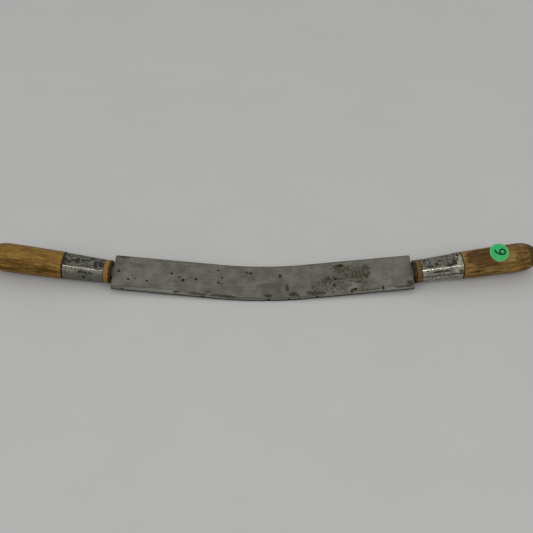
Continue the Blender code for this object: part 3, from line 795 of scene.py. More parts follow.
def blade_steel(name, finish, pale, dark, metallic):
    """Dull ground steel with film, rust and pits, on one kind of face of the blade."""
    material, nodes, shader, place = new_material(name, knife_place(), specular=0.18)
    strip = nodes.add("ShaderNodeUVMap", {}, uv_map="strip")["UV"]
    lines = nodes.group(scratched, Place=nodes.stretch(strip, (20.0, 620.0, 1.0)))["Mask"]
    base = nodes.group(clouded, Place=place, Pale=pale, Dark=dark, Size=11.0)
    lined = nodes.mix(nodes.times(lines, 0.52), base["Colour"], dark)
    rubbed = nodes.times(nodes.field("rubbed"), nodes.ramp(lines, 0.0, 1.0, 0.4, 1.0))
    bright = nodes.mix(nodes.times(rubbed, 0.75), lined, finish.steel_bright)
    film = nodes.patches(place, "film", grain=4.0, softness=0.3)
    filmed = nodes.mix(nodes.times(film, 0.6), bright, finish.film)
    crosswise = nodes.stretch(place, (1.3, 0.8, 1.0))
    mottle = nodes.patches(crosswise, "mottle", grain=2.1, softness=0.07)
    rust = nodes.patches(place, "rust", grain=2.4, softness=0.1)
    brown = nodes.most(nodes.times(mottle, 0.72), nodes.times(rust, 0.85))
    rusty = nodes.group(rusted, Place=place, Base=filmed, Rust=finish.rust, Deep=finish.rust_dark, Mask=brown)
    pit = nodes.patches(place, "pit", grain=1.4, softness=0.12)
    eaten = nodes.most(nodes.times(film, 0.45), nodes.most(brown, pit))
    rough = nodes.plus(eaten, nodes.times(lines, 0.2))
    height = nodes.plus(base["Height"], nodes.times(rusty["Height"], 2.0))
    height = nodes.less(height, nodes.times(lines, 0.35))
    nodes.feed(shader, {
        "Base Color": nodes.mix(nodes.times(pit, 0.92), rusty["Colour"], finish.rust_dark),
        "Metallic": nodes.ramp(eaten, 0.0, 1.0, metallic, 0.1),
        "Roughness": nodes.ramp(rough, 0.0, 1.2, 0.42, 0.85),
        "Normal": nodes.bump(height, strength=0.35, depth=0.05 * MM),
    })
    return material


def handle_wood(word, finish, place):
    """Worn wood with hand stain and dark bruises, painted shade in the corners, on the neck's end, on the
    butt and down the left grip's lower side, and a cleaner neck ring.
    """
    pale, dark, ring = [getattr(finish, word + tone) for tone in ("_pale", "_dark", "_ring")]
    material, nodes, shader, at = new_material(word + " wood", place, specular=0.1)
    wood = nodes.group(wood_grain, Place=at, Pale=pale, Dark=dark, Pore=finish.grime)
    ringed = nodes.group(wood_grain, Place=at, Pale=ring, Dark=darker(ring, 0.55), Pore=dark)
    clean = nodes.mix(nodes.field("ring"), wood["Colour"], ringed["Colour"])
    # Hand stain along the streaks, whose broad marks also paint shade down the left grip's lower side and on
    # the right butt
    streak = nodes.patches(nodes.stretch(at, (1.0, 1.0, 0.12)), "streak", grain=2.2, softness=0.22)
    stained = nodes.mix(streak, clean, finish.stain, blend="MULTIPLY")
    # Painted shade in the corners, on the neck's end and on the butt, and the dark bruises, in the colour of
    # the pores
    dirt_and_shade = nodes.patches(at, "grime", grain=1.6, softness=0.12)
    nodes.feed(shader, {
        "Base Color": nodes.mix(nodes.times(dirt_and_shade, 0.9), stained, finish.grime),
        "Roughness": nodes.ramp(wood["Height"], 0.0, 1.0, 0.68, 0.46),
        "Normal": nodes.bump(wood["Height"], strength=0.4, depth=0.12 * MM),
    })
    return material


def ferrule_tin(word, finish, place, shine):
    """Tinned sheet with turned lines, a weathered top, dark pitted places, painted shade along the lap's edge
    and a little rust.
    """
    material, nodes, shader, at = new_material(word + " ferrule steel", place, specular=0.2)
    tin = getattr(finish, word + "_tin")
    lines = nodes.group(scratched, Place=nodes.stretch(at, (0.07, 0.07, 0.6)))["Mask"]
    clean = nodes.group(clouded, Place=at, Pale=tin, Dark=finish.tin_dark, Size=3.5)
    weathered = nodes.group(clouded, Place=at, Pale=finish.dull, Dark=finish.dull_dark, Size=3.0)
    dull = nodes.patches(at, "dull", grain=1.8, softness=0.15)
    topped = nodes.mix(dull, clean["Colour"], weathered["Colour"])
    lined = nodes.mix(nodes.times(lines, 0.75), topped, finish.tin_dark)
    dark = nodes.patches(at, "tarnish", grain=2.6, softness=0.04)
    spotted = nodes.mix(nodes.times(dark, 0.94), lined, finish.tarnish)
    rust = nodes.patches(at, "rust", grain=1.5, softness=0.1)
    rusty = nodes.group(rusted, Place=at, Base=spotted, Rust=finish.brad, Deep=finish.rust_dark, Mask=rust)
    eaten = nodes.most(nodes.most(dark, rust), nodes.times(dull, 0.6))
    rough = nodes.plus(eaten, nodes.times(clean["Height"], 0.2))
    height = nodes.less(nodes.times(weathered["Height"], 0.6), dark)
    height = nodes.plus(height, nodes.times(lines, 0.4))
    nodes.feed(shader, {
        "Base Color": rusty["Colour"],
        "Metallic": nodes.ramp(eaten, 0.0, 1.0, shine, 0.25),
        "Roughness": nodes.ramp(rough, 0.0, 1.0, 0.13, 0.72),
        "Normal": nodes.bump(height, strength=0.16, depth=0.05 * MM),
    })
    return material


def brad_steel(word, finish, place):
    """Dark steel with rust on it."""
    material, nodes, shader, at = new_material(word + " brad steel", place, specular=0.25)
    base = nodes.group(clouded, Place=at, Pale=finish.land, Dark=finish.tarnish, Size=1.2)["Colour"]
    rust = nodes.patches(at, "rust", grain=0.7, softness=0.1)
    fine = nodes.stretch(at, (3.0, 3.0, 3.0))
    rusty = nodes.group(rusted, Place=fine, Base=base, Rust=finish.brad, Deep=finish.rust, Mask=rust)
    nodes.feed(shader, {
        "Base Color": rusty["Colour"],
        "Metallic": nodes.ramp(rust, 0.0, 1.0, 0.6, 0.2),
        "Roughness": nodes.ramp(rust, 0.0, 1.0, 0.5, 0.75),
        "Normal": nodes.bump(rusty["Height"], strength=0.5, depth=0.05 * MM),
    })
    return material


def sticker_paper(finish, place):
    """Green paper with fibres and a rubbed rim."""
    material, nodes, shader, at = new_material("green paper", place, specular=0.25)
    pale = [channel + (1.0 - channel) * 0.16 for channel in finish.paper]
    paper = nodes.group(clouded, Place=at, Pale=finish.paper, Dark=darker(finish.paper, 0.8), Size=3.0)
    nodes.feed(shader, {
        "Base Color": nodes.mix(nodes.times(nodes.field("rim"), 0.6), paper["Colour"], pale),
        "Roughness": nodes.ramp(paper["Height"], 0.0, 1.0, 0.5, 0.66),
        "Normal": nodes.bump(paper["Height"], strength=0.2, depth=0.03 * MM),
    })
    return material


def pen_ink(finish, place):
    """Black pen whose stroke is uneven."""
    material, nodes, shader, at = new_material("pen ink", place, specular=0.12)
    thin = [ink * 0.96 + paper * 0.04 for ink, paper in zip(finish.ink, finish.paper)]
    ink = nodes.group(clouded, Place=at, Pale=finish.ink, Dark=thin, Size=1.4)
    rough = nodes.ramp(ink["Height"], 0.0, 1.0, 0.4, 0.6)
    nodes.feed(shader, {"Base Color": ink["Colour"], "Roughness": rough})
    return material


def table_cloth(finish):
    """Plain pale table, barely mottled."""
    material, nodes, shader, at = new_material("pale table", Matrix(), specular=0.1)
    cloth = nodes.group(clouded, Place=at, Pale=finish.floor, Dark=darker(finish.floor, 0.965), Size=90.0)
    nodes.feed(shader, {"Base Color": cloth["Colour"], "Roughness": 0.9})
    return material


# Blade


def blade_ring(shape, blade):
    """Ring of edges round the middle of the bar, finely divided across both faces."""
    half = blade.width / 2
    thick = blade.thickness / 2
    upper = [
        (-half, blade.edge_land / 2),
        (blade.edge_bevel - half, thick),
        (half - blade.spine_bevel, thick),
        (half, blade.spine_land / 2),
    ]
    corners = upper + [(across, -up) for across, up in reversed(upper)]
    face = shape.faces.new([shape.verts.new((0.0, across, up)) for across, up in corners])
    bmesh.ops.bevel(
        shape, geom=face.verts[:], offset=blade.arris, affect="VERTICES", segments=ROUND_SEGMENTS,
        profile=0.5, material=-1
    )
    for cuts, up in ((UPPER_CUTS, 1), (LOWER_CUTS, -1)):
        wide = [edge for edge in shape.edges if edge.calc_length() > half and edge.verts[0].co.z * up > 0.0]
        bmesh.ops.subdivide_edges(shape, edges=wide, cuts=cuts)
    bmesh.ops.delete(shape, geom=shape.faces[:], context="FACES_ONLY")
    return shape.verts[:] + shape.edges[:]


def sweep_bar(shape, blade):
    """Carry the ring round the bend and out past the end of the straight half, then mirror it."""
    swept = bmesh.ops.spin(
        shape, geom=blade_ring(shape, blade), cent=(0.0, blade.bend_radius, 0.0), axis=(0, 0, 1),
        angle=blade.wing_angle, steps=round(blade.bend_radius * blade.wing_angle / GRID)
    )
    edges = picked(BMEdge, swept["geom_last"])
    start, along = wing(blade)
    reach = (blade_end(blade, RIGHT).xy - start).length + blade.corner_radius
    steps = round(reach / GRID)
    for _ in range(steps):
        edges, _verts = pull(shape, edges, (along * (reach / steps)).to_3d())
    bmesh.ops.mirror(shape, geom=everything(shape), axis="X", merge_dist=WELD)
    weld(shape)


def trim(shape, point, outwards):
    """Cut off all that lies beyond a plane, and close the cut."""
    cut = bmesh.ops.bisect_plane(
        shape, geom=everything(shape), dist=WELD, plane_co=point, plane_no=outwards, clear_outer=True
    )
    bmesh.ops.edgeloop_fill(shape, edges=picked(BMEdge, cut["geom_cut"]))


def trim_end(shape, blade, hand):
    """Cut one end of the bar to its lean and round its two corners, and give the way that the end faces."""
    end = blade_end(blade, hand)
    outwards = Vector((hand * math.cos(blade.end_cut), math.sin(blade.end_cut), 0.0))
    trim(shape, end, outwards)
    along = wing(blade)[1]
    spine = Vector((-hand * along.y, along.x, 0.0))
    reach = blade.width / 2 / math.cos(blade.wing_angle - blade.end_cut)
    end_line = Vector((-hand * outwards.y, hand * outwards.x, 0.0))
    for side in (-1, 1):
        corner = end + end_line * (side * reach)
        both = outwards + spine * side
        centre = corner - both * (blade.corner_radius / (1.0 + outwards.dot(spine * side)))
        for step in range(1, CORNER_STEPS):
            normal = outwards.slerp(spine * side, step / CORNER_STEPS)
            trim(shape, centre + normal * blade.corner_radius, normal)
    return outwards


def nearest(faces, point):
    """The face whose middle is nearest to a point."""
    return min(faces, key=lambda face: (face.calc_center_bounds() - point).length)


def draw_tang(shape, blade, handle, hand, outwards):
    """Draw the tang out of the middle of an end, with a fillet at its root."""
    end = blade_end(blade, hand)
    place = handle_place(blade, handle, hand)
    across = Vector((-outwards.y, outwards.x, 0.0))
    half = blade.tang_root / 2 + blade.tang_fillet
    shape.normal_update()
    caps = [face for face in shape.faces if face.normal.dot(outwards) > FACING]
    for side in (-1, 1):
        root = nearest(caps, end)
        split = bmesh.ops.bisect_plane(
            shape, geom=[root] + root.edges[:] + root.verts[:], dist=WELD,
            plane_co=end + across * (side * half), plane_no=across
        )
        caps = picked(BMFace, split["geom"])
    root = nearest(caps, end)
    steps = []
    for step in range(1, FILLET_STEPS + 1):
        turn = QUARTER * step / FILLET_STEPS
        narrowed = blade.tang_root / 2 + blade.tang_fillet * (1.0 - math.sin(turn))
        steps.append((blade.tang_fillet * (1.0 - math.cos(turn)), narrowed))
    steps.append((blade.tang_length, blade.tang_tip / 2))
    reached = 0.0
    for distance, narrowed in steps:
        pulled = bmesh.ops.extrude_face_region(shape, geom=[root])["geom"]
        root = picked(BMFace, pulled)[0]
        verts = picked(BMVert, pulled)
        bmesh.ops.translate(shape, vec=place.col[2].xyz * (distance - reached), verts=verts)
        bmesh.ops.scale(shape, vec=(1.0, narrowed / half, 1.0), verts=verts, space=place.inverted())
        reached, half = distance, narrowed


def wear_blade(shape, blade):
    """Pit and wear the bar, and note on it where it is pitted, rusted, filmed and rubbed."""
    layers = new_layers(shape, "pit", "rust", "mottle", "film", "rubbed")
    strip = shape.loops.layers.uv.new("strip")
    heel = blade.edge_bevel - blade.width / 2
    inner = blade.length / 2 - blade.corner_radius
    for vert in shape.verts:
        along, across = strip_place(blade, vert.co)
        side = 1.0 if vert.co.z > 0.0 else -1.0
        spot = (side * along / MM, across / MM)
        haze = HAZE + HAZE_SWING * ripple((*spot, 7.0 * side), HAZE_SIZE)
        least = (0.0, 0.0 if side > 0.0 else UNDERSIDE_RUST, 0.0, haze, 0.0)
        for layer, places, lowest in zip(layers, (PITS, RUST, MOTTLED, FILM, RUBBED), least):
            vert[layer] = max(strongest(places, *spot), lowest)
        for loop in vert.link_loops:
            loop[strip].uv = (along, across)
        if abs(along) > inner:
            continue
        if across < heel:
            worn = EDGE_SWING * (0.5 + 0.5 * ripple((spot[0], 0.0, 0.0), EDGE_SIZE))
            nick = strongest(NICKS, along / MM, 0.0)
            vert.co.y += blade.edge_wear * (worn + nick) * ease(heel - across, 0.0, blade.edge_bevel)
        wave = blade.waviness * (ripple((*spot, 31.0 * side), FACE_SIZE) - 1.0)
        vert.co.z += side * (wave - blade.pit_depth * vert[layers[0]])


def sort_blade_faces(shape, blade):
    """Give the faces, the two bevels and the edge their material numbers."""
    half = blade.width / 2
    for face in shape.faces:
        along, across = strip_place(blade, face.calc_center_median())
        if abs(along) > blade.length / 2 + blade.corner_radius:
            continue
        if across < -half + blade.arris:
            face.material_index = LAND_STEEL
        elif across < blade.edge_bevel - half:
            face.material_index = BEVEL_STEEL
        elif across > half - blade.spine_bevel:
            face.material_index = SPINE_STEEL


class KNIFE_OT_blade(bpy.types.Operator):
    """Model the bent blade with its tangs, bevels, pits and rust"""

    bl_idname = "knife.blade"
    bl_label = "Blade"

    def execute(self, context):
        blade, handle, finish = sizes("blade", "handle", "finish")
        shape = bmesh.new()
        sweep_bar(shape, blade)
        for hand in SIDE_WORDS:
            draw_tang(shape, blade, handle, hand, trim_end(shape, blade, hand))
        bmesh.ops.recalc_face_normals(shape, faces=shape.faces)
        sort_blade_faces(shape, blade)
        wear_blade(shape, blade)
        steels = [
            blade_steel("blade steel", finish, finish.steel, finish.steel_dark, 0.7),
            blade_steel("edge bevel steel", finish, finish.bevel, finish.steel_dark, 0.7),
            # The edge land's steel is darkened to paint the shade on its down-facing face
            blade_steel("edge land steel", finish, finish.land, finish.tarnish, 0.5),
            blade_steel("spine bevel steel", finish, finish.spine, finish.film, 0.6),
        ]
        place_piece("blade_ground", shape, knife_place(), steels, "blade")
        return {"FINISHED"}


# Handles


def handle_outline(handle, ferrule):
    """Points (radius, distance from the neck end) of a handle, from the rim of the tang hole to the butt."""
    neck = handle.neck_radius
    end = handle.neck_length
    curve = handle.neck_round
    groove = handle.groove
    lip = GROOVE_LIP * groove
    shoulder = shoulder_at(handle, ferrule)
    lining = ferrule.sheet + handle.fit
    points = [
        (TANG_RIM * neck, 0.0),
        *quarter_round(neck - curve, curve, curve),
        (neck - groove, curve + groove),
        (neck - lip, curve + 2 * groove),
        (neck, end / 2),
        (neck - lip, end - groove),
        (neck - groove, end),
        (ferrule.narrow_radius - lining, end),
        (ferrule.wide_radius - lining, shoulder),
    ]
    curve = handle.shoulder_round
    points += quarter_round(handle.shoulder_radius - curve, shoulder + curve, curve)
    straight = handle.grip_length - handle.butt_length
    steps = round(straight / GRIP_STRIDE)
    stations = [curve + (straight - curve) * step / steps for step in range(1, steps + 1)]
    turns = [QUARTER * step / BUTT_STEPS for step in range(1, BUTT_STEPS)]
    stations += [straight + handle.butt_length * math.sin(turn) for turn in turns]
    points += [(grip_radius(handle, along), shoulder + along) for along in stations]
    return points + [(0.0, shoulder + handle.grip_length)]


def sink_tang_hole(shape, blade, handle):
    """Close the neck end with a face that holds the flat hole of the tang."""
    rim = open_rim(shape)
    shrink = (blade.tang_tip - blade.tang_root) / blade.tang_length
    mouth = (blade.tang_root + shrink * handle.bare_tang) / 2 + handle.fit
    bottom = blade.tang_tip / 2 + handle.fit
    half = blade.thickness / 2 + handle.fit
    corners = [(half, mouth), (-half, mouth), (-half, -mouth), (half, -mouth)]
    loop = [shape.verts.new((up, across, 0.0)) for up, across in corners]
    sides = [shape.edges.new((loop[index - 1], loop[index])) for index in range(len(loop))]
    bmesh.ops.subdivide_edges(shape, edges=sides, cuts=HOLE_CUTS)
    bmesh.ops.bridge_loops(shape, edges=rim + [edge for edge in shape.edges if edge.is_wire])
    depth = blade.tang_length - handle.bare_tang + handle.fit
    verts = pull(shape, open_rim(shape), (0.0, 0.0, depth))[1]
    bmesh.ops.scale(shape, vec=(1.0, bottom / mouth, 1.0), verts=verts)
    bmesh.ops.edgeloop_fill(shape, edges=open_rim(shape))
    bmesh.ops.recalc_face_normals(shape, faces=shape.faces)


def wear_handle(shape, handle, ferrule, hand):
    """Wear the wood out of round, and note on it where it is stained, bruised or clean, and where shade is
    painted on it.
    """
    ring, streak, grime = new_layers(shape, "ring", "streak", "grime")
    wear = WEAR[hand]
    neck = handle.neck_length
    curve = handle.neck_round
    grip = handle.grip_length
    shoulder = shoulder_at(handle, ferrule)
    for vert in shape.verts:
        along = vert.co.z
        around = hand * math.atan2(vert.co.y, vert.co.x) * handle.shoulder_radius
        spot = (along / MM, around / MM)
        bruise = strongest(BRUISES[hand], *spot)
        front = ease(along, 1.7 * curve, 0.6 * curve)
        crack = 1.0 - ease(abs(along - shoulder), 0.3 * MM, 1.1 * MM)
        line = 1.0 - ease(abs(along - curve - handle.groove), 0.1 * MM, 0.9 * MM)
        butt = ease(along, shoulder + 0.8 * grip, shoulder + 0.9 * grip)
        vert[ring] = wear.clean_ring * ease(along, neck + 2 * MM, neck + 1 * MM)
        vert[streak] = max(strongest(STREAKS_AND_SHADE[hand], *spot), HAND_STAIN)
        # Painted shade in the shoulder gap, in the line cut into the neck ring, on the neck's end and on the
        # butt, with the real bruises
        corners = max(CRACK_SHADE * crack, LINE_SHADE * line)
        vert[grime] = max(wear.end_dirt * front, corners, wear.butt_dirt * butt, bruise)
        if along > shoulder + handle.shoulder_round and vert.co.xy.length > 0.0:
            out = handle.unevenness * (ripple(vert.co / MM, WOOD_SIZE, hand) - 0.4)
            out -= handle.bruise_depth * bruise
            vert.co.xy += vert.co.xy * (out / handle.grip_radius)


class KNIFE_OT_handles(bpy.types.Operator):
    """Turn the two wooden handles, each with the hole of its tang"""

    bl_idname = "knife.handles"
    bl_label = "Handles"

    def execute(self, context):
        blade, handle, ferrule, finish = sizes("blade", "handle", "ferrule", "finish")
        for hand, word in SIDE_WORDS.items():
            shape = bmesh.new()
            turned(shape, handle_outline(handle, ferrule), TURN_STEPS)
            sink_tang_hole(shape, blade, handle)
            wear_handle(shape, handle, ferrule, hand)
            place = knife_place() @ handle_place(blade, handle, hand)
            wood = handle_wood(word, finish, place)
            place_piece(word + "_handle_turned", shape, place, [wood], word + "_handle")
        return {"FINISHED"}


# Ferrules


def brad_spot(brad, hand):
    """Angle round a handle, distance to its shoulder and to the free end of the sheet, of one brad."""
    return [getattr(brad, SIDE_WORDS[hand] + name) for name in ("_angle", "_from_shoulder", "_lap")]


def sheet_line(ferrule, lap_edge):
    """Angle and layer of points along the wrapped sheet, from its covered end to the free edge of the lap."""
    lap = ferrule.lap_width / ferrule.narrow_radius
    raised = lap_edge - lap
    low = raised - ferrule.lap_rise / ferrule.narrow_radius
    covered = raised + ferrule.lap_gap / ferrule.narrow_radius - 2 * math.pi
    around = [(covered + (low - covered) * step / TURN_STEPS, 0.0) for step in range(TURN_STEPS + 1)]
    rise = [(low + (raised - low) * share, ease(share, 0.0, 1.0)) for share in (0.25, 0.5, 0.75)]
    lap_steps = round(ferrule.lap_width / FERRULE_STRIDE)
    return around + rise + [(raised + lap * step / lap_steps, 1.0) for step in range(lap_steps + 1)]


def ferrule_stations(handle, ferrule, hand):
    """Points (distance from the narrow end, outside radius) along a ferrule."""
    stop = ferrule.length - SHOULDER_GAPS[hand] * handle.fit
    steps = round(ferrule.length / FERRULE_STRIDE)
    band_from = ferrule.length - ferrule.band_width
    stations = []
    for step in range(steps + 1):
        along = handle.fit + (stop - handle.fit) * step / steps
        band = ease(along, band_from - ferrule.band_slope, band_from)
        crown = 1.0 - BAND_FALL * ease(along, ferrule.length - 0.3 * ferrule.band_width, ferrule.length)
        rise = ferrule.band_height * band * crown if hand == RIGHT else 0.0
        stations.append((along, ferrule_radius(ferrule, along) + rise))
    return stations


def wrap_sheet(shape, handle, ferrule, hand, lap_edge):
    """Draw the line of the wrapped sheet out along the handle, with its faces turned away from the Z axis."""
    stations = ferrule_stations(handle, ferrule, hand)
    along, radius = stations[0]
    points = []
    for turn, layer in sheet_line(ferrule, lap_edge):
        inside = radius - ferrule.sheet + layer * (ferrule.sheet + ferrule.lap_gap)
        around = hand * turn
        points.append((inside * math.cos(around), inside * math.sin(around), handle.neck_length + along))
    edges = picked(BMEdge, chain(shape, points))
    for next_along, next_radius in stations[1:]:
        edges, verts = pull(shape, edges, (0.0, 0.0, next_along - along))
        stretch = (next_radius - ferrule.sheet) / (radius - ferrule.sheet)
        bmesh.ops.scale(shape, vec=(stretch, stretch, 1.0), verts=verts)
        along, radius = next_along, next_radius
    shape.normal_update()
    shape.faces.ensure_lookup_table()
    first = shape.faces[0]
    if first.normal.dot(first.calc_center_median() * Vector((1.0, 1.0, 0.0))) < 0.0:
        bmesh.ops.reverse_faces(shape, faces=shape.faces)


def wear_ferrule(shape, handle, ferrule, hand, lap_edge, brad_at):
    """Dent the sheet, and note on it where it is tarnished, where shade is painted along the lap's free edge,
    and where the brad has rusted it.
    """
    tarnish, dull, rust = new_layers(shape, "tarnish", "dull", "rust")
    wear = WEAR[hand]
    limit = wear.dull_to
    stain = marks((*brad_at, BRAD_STAIN, BRAD_STAIN))
    band_from = shoulder_at(handle, ferrule) - ferrule.band_width
    # Angles from the top in radians
    for vert in shape.verts:
        turn = hand * math.atan2(vert.co.y, vert.co.x)
        spot = (vert.co.z / MM, turn * FERRULE_REACH)
        top = 1.0 - ease(turn, limit - 0.06, limit + 0.08)
        # A cleaner raised band, whose bright clean tin also paints part of its broad highlight
        if hand == RIGHT:
            on_band = ease(vert.co.z, band_from - 0.4 * MM, band_from + 0.4 * MM)
            top *= 1.0 - BAND_RUB_AND_HIGHLIGHT * on_band * ease(turn, -0.7, -0.1)
        below = wear.dull_below * ease(turn, limit + 0.18, limit + 0.32)
        # Painted shade along the lap's free edge
        seam = SEAM_SHADE * (1.0 - ease(abs(turn - lap_edge - 0.03), 0.04, 0.1))
        dark = wear.dark_top * top * (1.0 - BACK_FADE * ease(-turn, 0.9, 1.7))
        vert[dull] = max(DULL_TOP * top, below)
        vert[tarnish] = max(strongest(TARNISH[hand], *spot), dark, BELOW_DARK * below, seam)
        vert[rust] = wear.brad_rust * strongest(stain, *spot)
        out = ferrule.waviness * ripple(vert.co / MM, SHEET_SIZE, hand)
        out -= ferrule.dent_depth * strongest(DENTS[hand], *spot)
        vert.co.xy += vert.co.xy.normalized() * out


class KNIFE_OT_ferrules(bpy.types.Operator):
    """Wrap the two steel ferrules and lap them over their own ends"""

    bl_idname = "knife.ferrules"
    bl_label = "Ferrules"

    def execute(self, context):
        blade, handle, ferrule, brad, finish = sizes("blade", "handle", "ferrule", "brad", "finish")
        for hand, word in SIDE_WORDS.items():
            turn, from_shoulder, lap = brad_spot(brad, hand)
            lap_edge = turn + lap / ferrule.narrow_radius
            brad_at = ((shoulder_at(handle, ferrule) - from_shoulder) / MM, turn * FERRULE_REACH)
            shape = bmesh.new()
            wrap_sheet(shape, handle, ferrule, hand, lap_edge)
            wear_ferrule(shape, handle, ferrule, hand, lap_edge, brad_at)
            place = knife_place() @ handle_place(blade, handle, hand)
            tin = ferrule_tin(word, finish, place, WEAR[hand].shine)
            name = word + "_ferrule"
            piece = place_piece(name + "_wrapped", shape, place, [tin], name)
            sheet = piece.modifiers.new("sheet", "SOLIDIFY")
            sheet.thickness = ferrule.sheet
            sheet.offset = 1.0
            sheet.use_even_offset = True
            rims = piece.modifiers.new("rims", "BEVEL")
            rims.width = RIM_ROUND * ferrule.sheet
            rims.segments = 2
            rims.limit_method = "ANGLE"
            rims.angle_limit = RIM_ANGLE
        return {"FINISHED"}


# Brads


def brad_outline(brad):
    """Points (radius, height over the underside of the head) of a brad, from its crown to its point."""
    crown = brad.head_height - brad.rim_height
    points = [(0.0, brad.head_height)]
    for step in range(1, CROWN_STEPS + 1):
        turn = QUARTER * step / CROWN_STEPS
        height = brad.rim_height + crown * math.cos(turn) ** CROWN_FLATNESS
        points.append((brad.head_radius * math.sin(turn), height))
    points += [(brad.head_radius, 0.1 * brad.head_height), (0.94 * brad.head_radius, 0.0)]
    points += [(brad.shank_radius, 0.0), (brad.shank_radius, brad.point_length - brad.shank_length)]
    return points + [(0.0, -brad.shank_length)]


class KNIFE_OT_brads(bpy.types.Operator):
    """Drive a rusted brad through the lap of each ferrule"""

    bl_idname = "knife.brads"
    bl_label = "Brads"

    def execute(self, context):
        blade, handle, ferrule, brad, finish = sizes("blade", "handle", "ferrule", "brad", "finish")
        for hand, word in SIDE_WORDS.items():
            turn, from_shoulder, _lap = brad_spot(brad, hand)
            along = ferrule.length - from_shoulder
            band = ferrule.band_height if hand == RIGHT else 0.0
            seat = lap_outside(ferrule, ferrule_radius(ferrule, along) + band)
            out = Matrix.Rotation(hand * turn, 4, "Z") @ Matrix.Translation((seat, 0.0, 0.0))
            stand = Matrix.Rotation(QUARTER, 4, "Y")
            up_handle = Matrix.Translation((0.0, 0.0, handle.neck_length + along))
            place = knife_place() @ handle_place(blade, handle, hand) @ up_handle @ out @ stand
            shape = bmesh.new()
            turned(shape, brad_outline(brad), BRAD_STEPS)
            rust = new_layers(shape, "rust")[0]
            for vert in shape.verts:
                vert[rust] = WEAR[hand].brad_rust
                if vert.co.z > 0.0:
                    vert.co.z += HEAD_DENT * brad.head_height * ripple(vert.co / MM, HEAD_SIZE, hand)
            steel = brad_steel(word, finish, place)
            place_piece(word + "_brad_driven", shape, place, [steel], word + "_ferrule_brad")
        return {"FINISHED"}


# Sticker


def wrap_on_grip(shape, handle, ferrule, sticker):
    """Lay what is drawn flat, X towards the butt and Y towards the edge side, over the right grip."""
    for vert in shape.verts:
        along = sticker.from_shoulder + vert.co.x
        radius = grip_radius(handle, along) + sticker.lift + vert.co.z
        wrapped = sticker.around + vert.co.y / radius
        stuck = max(wrapped, sticker.free_angle)
        free = (wrapped - stuck) * radius
        up = radius * math.cos(stuck) - free * math.sin(stuck)
        side = radius * math.sin(stuck) + free * math.cos(stuck)
        vert.co = (up, side, shoulder_at(handle, ferrule) + along)


def cut_disc(shape, sticker):
    """Round piece of paper with its thickness."""
    spoke = [(sticker.radius * step / STICKER_RINGS, 0.0) for step in range(STICKER_RINGS + 1)]
    turned(shape, spoke, STICKER_TURNS)
    if sum(face.normal.z for face in shape.faces) > 0.0:
        bmesh.ops.reverse_faces(shape, faces=shape.faces)
    bmesh.ops.solidify(shape, geom=shape.faces[:], thickness=sticker.thickness)


def pen_numeral(shape, sticker):
    """Plain numeral as two bent strokes just above the paper, its loop towards the butt."""
    paper = set(shape.faces)
    loop = Vector((PEN_SHIFT * sticker.pen_loop, 0.0, sticker.thickness + sticker.pen_height))
    foot = loop + Vector((0.0, sticker.pen_loop, 0.0))
    tail = foot - Vector((0.0, sticker.pen_tail, 0.0))
    half = Vector((0.0, sticker.pen_width / 2, 0.0))
    for centre, sweep in ((tail, sticker.tail_sweep), (loop, -sticker.loop_sweep)):
        nib = chain(shape, [foot - half, foot + half])
        bmesh.ops.spin(shape, geom=nib, cent=centre, axis=(0, 0, 1), angle=sweep, steps=PEN_STEPS)
    bmesh.ops.remove_doubles(shape, verts=shape.verts, dist=WELD)
    strokes = [face for face in shape.faces if face not in paper]
    bmesh.ops.recalc_face_normals(shape, faces=strokes)
    bmesh.ops.solidify(shape, geom=strokes, thickness=sticker.pen_height)
    for face in shape.faces:
        if face not in paper:
            face.material_index = 1


class KNIFE_OT_sticker(bpy.types.Operator):
    """Stick the round paper with its penned numeral on the right grip"""

    bl_idname = "knife.sticker"
    bl_label = "Sticker"

    def execute(self, context):
        blade, handle, ferrule, sticker, finish = sizes("blade", "handle", "ferrule", "sticker", "finish")
        place = knife_place() @ handle_place(blade, handle, RIGHT)
        materials = [sticker_paper(finish, place), pen_ink(finish, place)]
        shape = bmesh.new()
        cut_disc(shape, sticker)
        pen_numeral(shape, sticker)
        rim = new_layers(shape, "rim")[0]
        for vert in shape.verts:
            vert[rim] = ease(vert.co.xy.length, PAPER_RIM * sticker.radius, sticker.radius)
        wrap_on_grip(shape, handle, ferrule, sticker)
        place_piece("lot_sticker_paper", shape, place, materials, "lot_sticker")
        return {"FINISHED"}


# Stage


def add_light(name, width, height, power, at, aim):
    """Soft area light aimed at a point."""
    data = bpy.data.lights.new(name, "AREA")
    data.shape = "ELLIPSE"
    data.size = width
    data.size_y = height
    data.energy = power
    light = bpy.data.objects.new(name, data)
    light.location = at
    light.rotation_euler = (Vector(aim) - Vector(at)).to_track_quat("-Z", "Y").to_euler()
    bpy.context.scene.collection.objects.link(light)


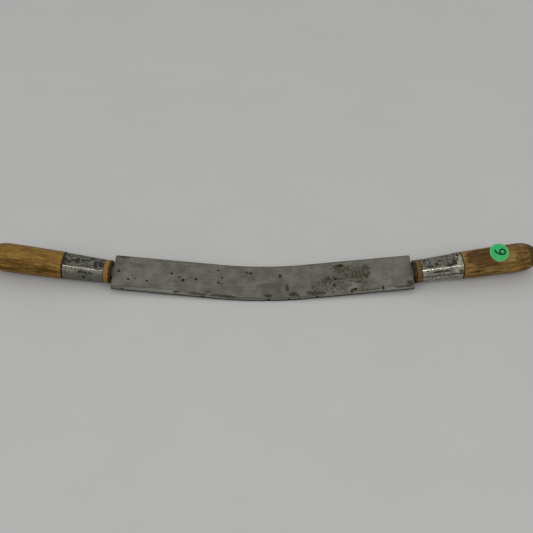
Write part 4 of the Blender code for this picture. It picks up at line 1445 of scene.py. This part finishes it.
class KNIFE_OT_stage(bpy.types.Operator):
    """Lay the pale table and set up the light and the camera"""

    bl_idname = "knife.stage"
    bl_label = "Stage"

    def execute(self, context):
        scene = context.scene
        stage, finish = sizes("stage", "finish")
        shape = bmesh.new()
        half = stage.floor_width / 2
        bmesh.ops.create_grid(shape, x_segments=FLOOR_CELLS, y_segments=FLOOR_CELLS, size=half)
        mesh = bpy.data.meshes.new("table")
        shape.to_mesh(mesh)
        shape.free()
        mesh.materials.append(table_cloth(finish))
        floor = bpy.data.objects.new("table", mesh)
        scene.collection.objects.link(floor)

        for name, (width, height, power, at, aim) in LIGHTS.items():
            add_light(name, width, height, power * stage.lamps, at, aim)
        world = bpy.data.worlds.new("room")
        world.use_nodes = True
        background = world.node_tree.nodes["Background"].inputs
        background["Color"].default_value = (1.0, 1.0, 1.0, 1.0)
        background["Strength"].default_value = stage.fill
        scene.world = world
        scene.view_settings.view_transform = "Standard"

        data = bpy.data.cameras.new("camera")
        data.lens = stage.lens
        camera = bpy.data.objects.new("camera", data)
        back = Vector((0.0, -math.cos(stage.elevation), math.sin(stage.elevation)))
        camera.location = Vector((stage.target_x, stage.target_y, 0.0)) + back * stage.distance
        camera.rotation_euler = (QUARTER - stage.elevation, 0.0, 0.0)
        scene.collection.objects.link(camera)
        scene.camera = camera
        return {"FINISHED"}


OPERATORS = (
    KNIFE_OT_blade,
    KNIFE_OT_handles,
    KNIFE_OT_ferrules,
    KNIFE_OT_brads,
    KNIFE_OT_sticker,
    KNIFE_OT_stage,
)

GROUPS = {
    "knife_blade": BladeSizes,
    "knife_handle": HandleSizes,
    "knife_ferrule": FerruleSizes,
    "knife_brad": BradSizes,
    "knife_sticker": StickerSizes,
    "knife_finish": Finish,
    "knife_stage": StageSizes,
}


class KNIFE_PT_build(bpy.types.Panel):
    """Sizes, colours and steps of the fleshing knife"""

    bl_idname = "KNIFE_PT_build"
    bl_label = "Fleshing Knife"
    bl_space_type = "VIEW_3D"
    bl_region_type = "UI"
    bl_category = "Knife"

    def draw(self, context):
        for name, kind in GROUPS.items():
            box = self.layout.box()
            for label in kind.__annotations__:
                box.prop(getattr(context.scene, name), label)
        for operator in OPERATORS:
            self.layout.operator(operator.bl_idname)


def register():
    for kind in (*GROUPS.values(), *OPERATORS, KNIFE_PT_build):
        bpy.utils.register_class(kind)
    for name, kind in GROUPS.items():
        setattr(bpy.types.Scene, name, bpy.props.PointerProperty(type=kind))


def unregister():
    for name in GROUPS:
        delattr(bpy.types.Scene, name)
    for kind in (KNIFE_PT_build, *reversed(OPERATORS), *reversed(GROUPS.values())):
        bpy.utils.unregister_class(kind)


def main():
    """Build every piece and the stage."""
    register()
    bpy.ops.knife.blade()
    bpy.ops.knife.handles()
    bpy.ops.knife.ferrules()
    bpy.ops.knife.brads()
    bpy.ops.knife.sticker()
    bpy.ops.knife.stage()


if __name__ == "__main__":
    main()
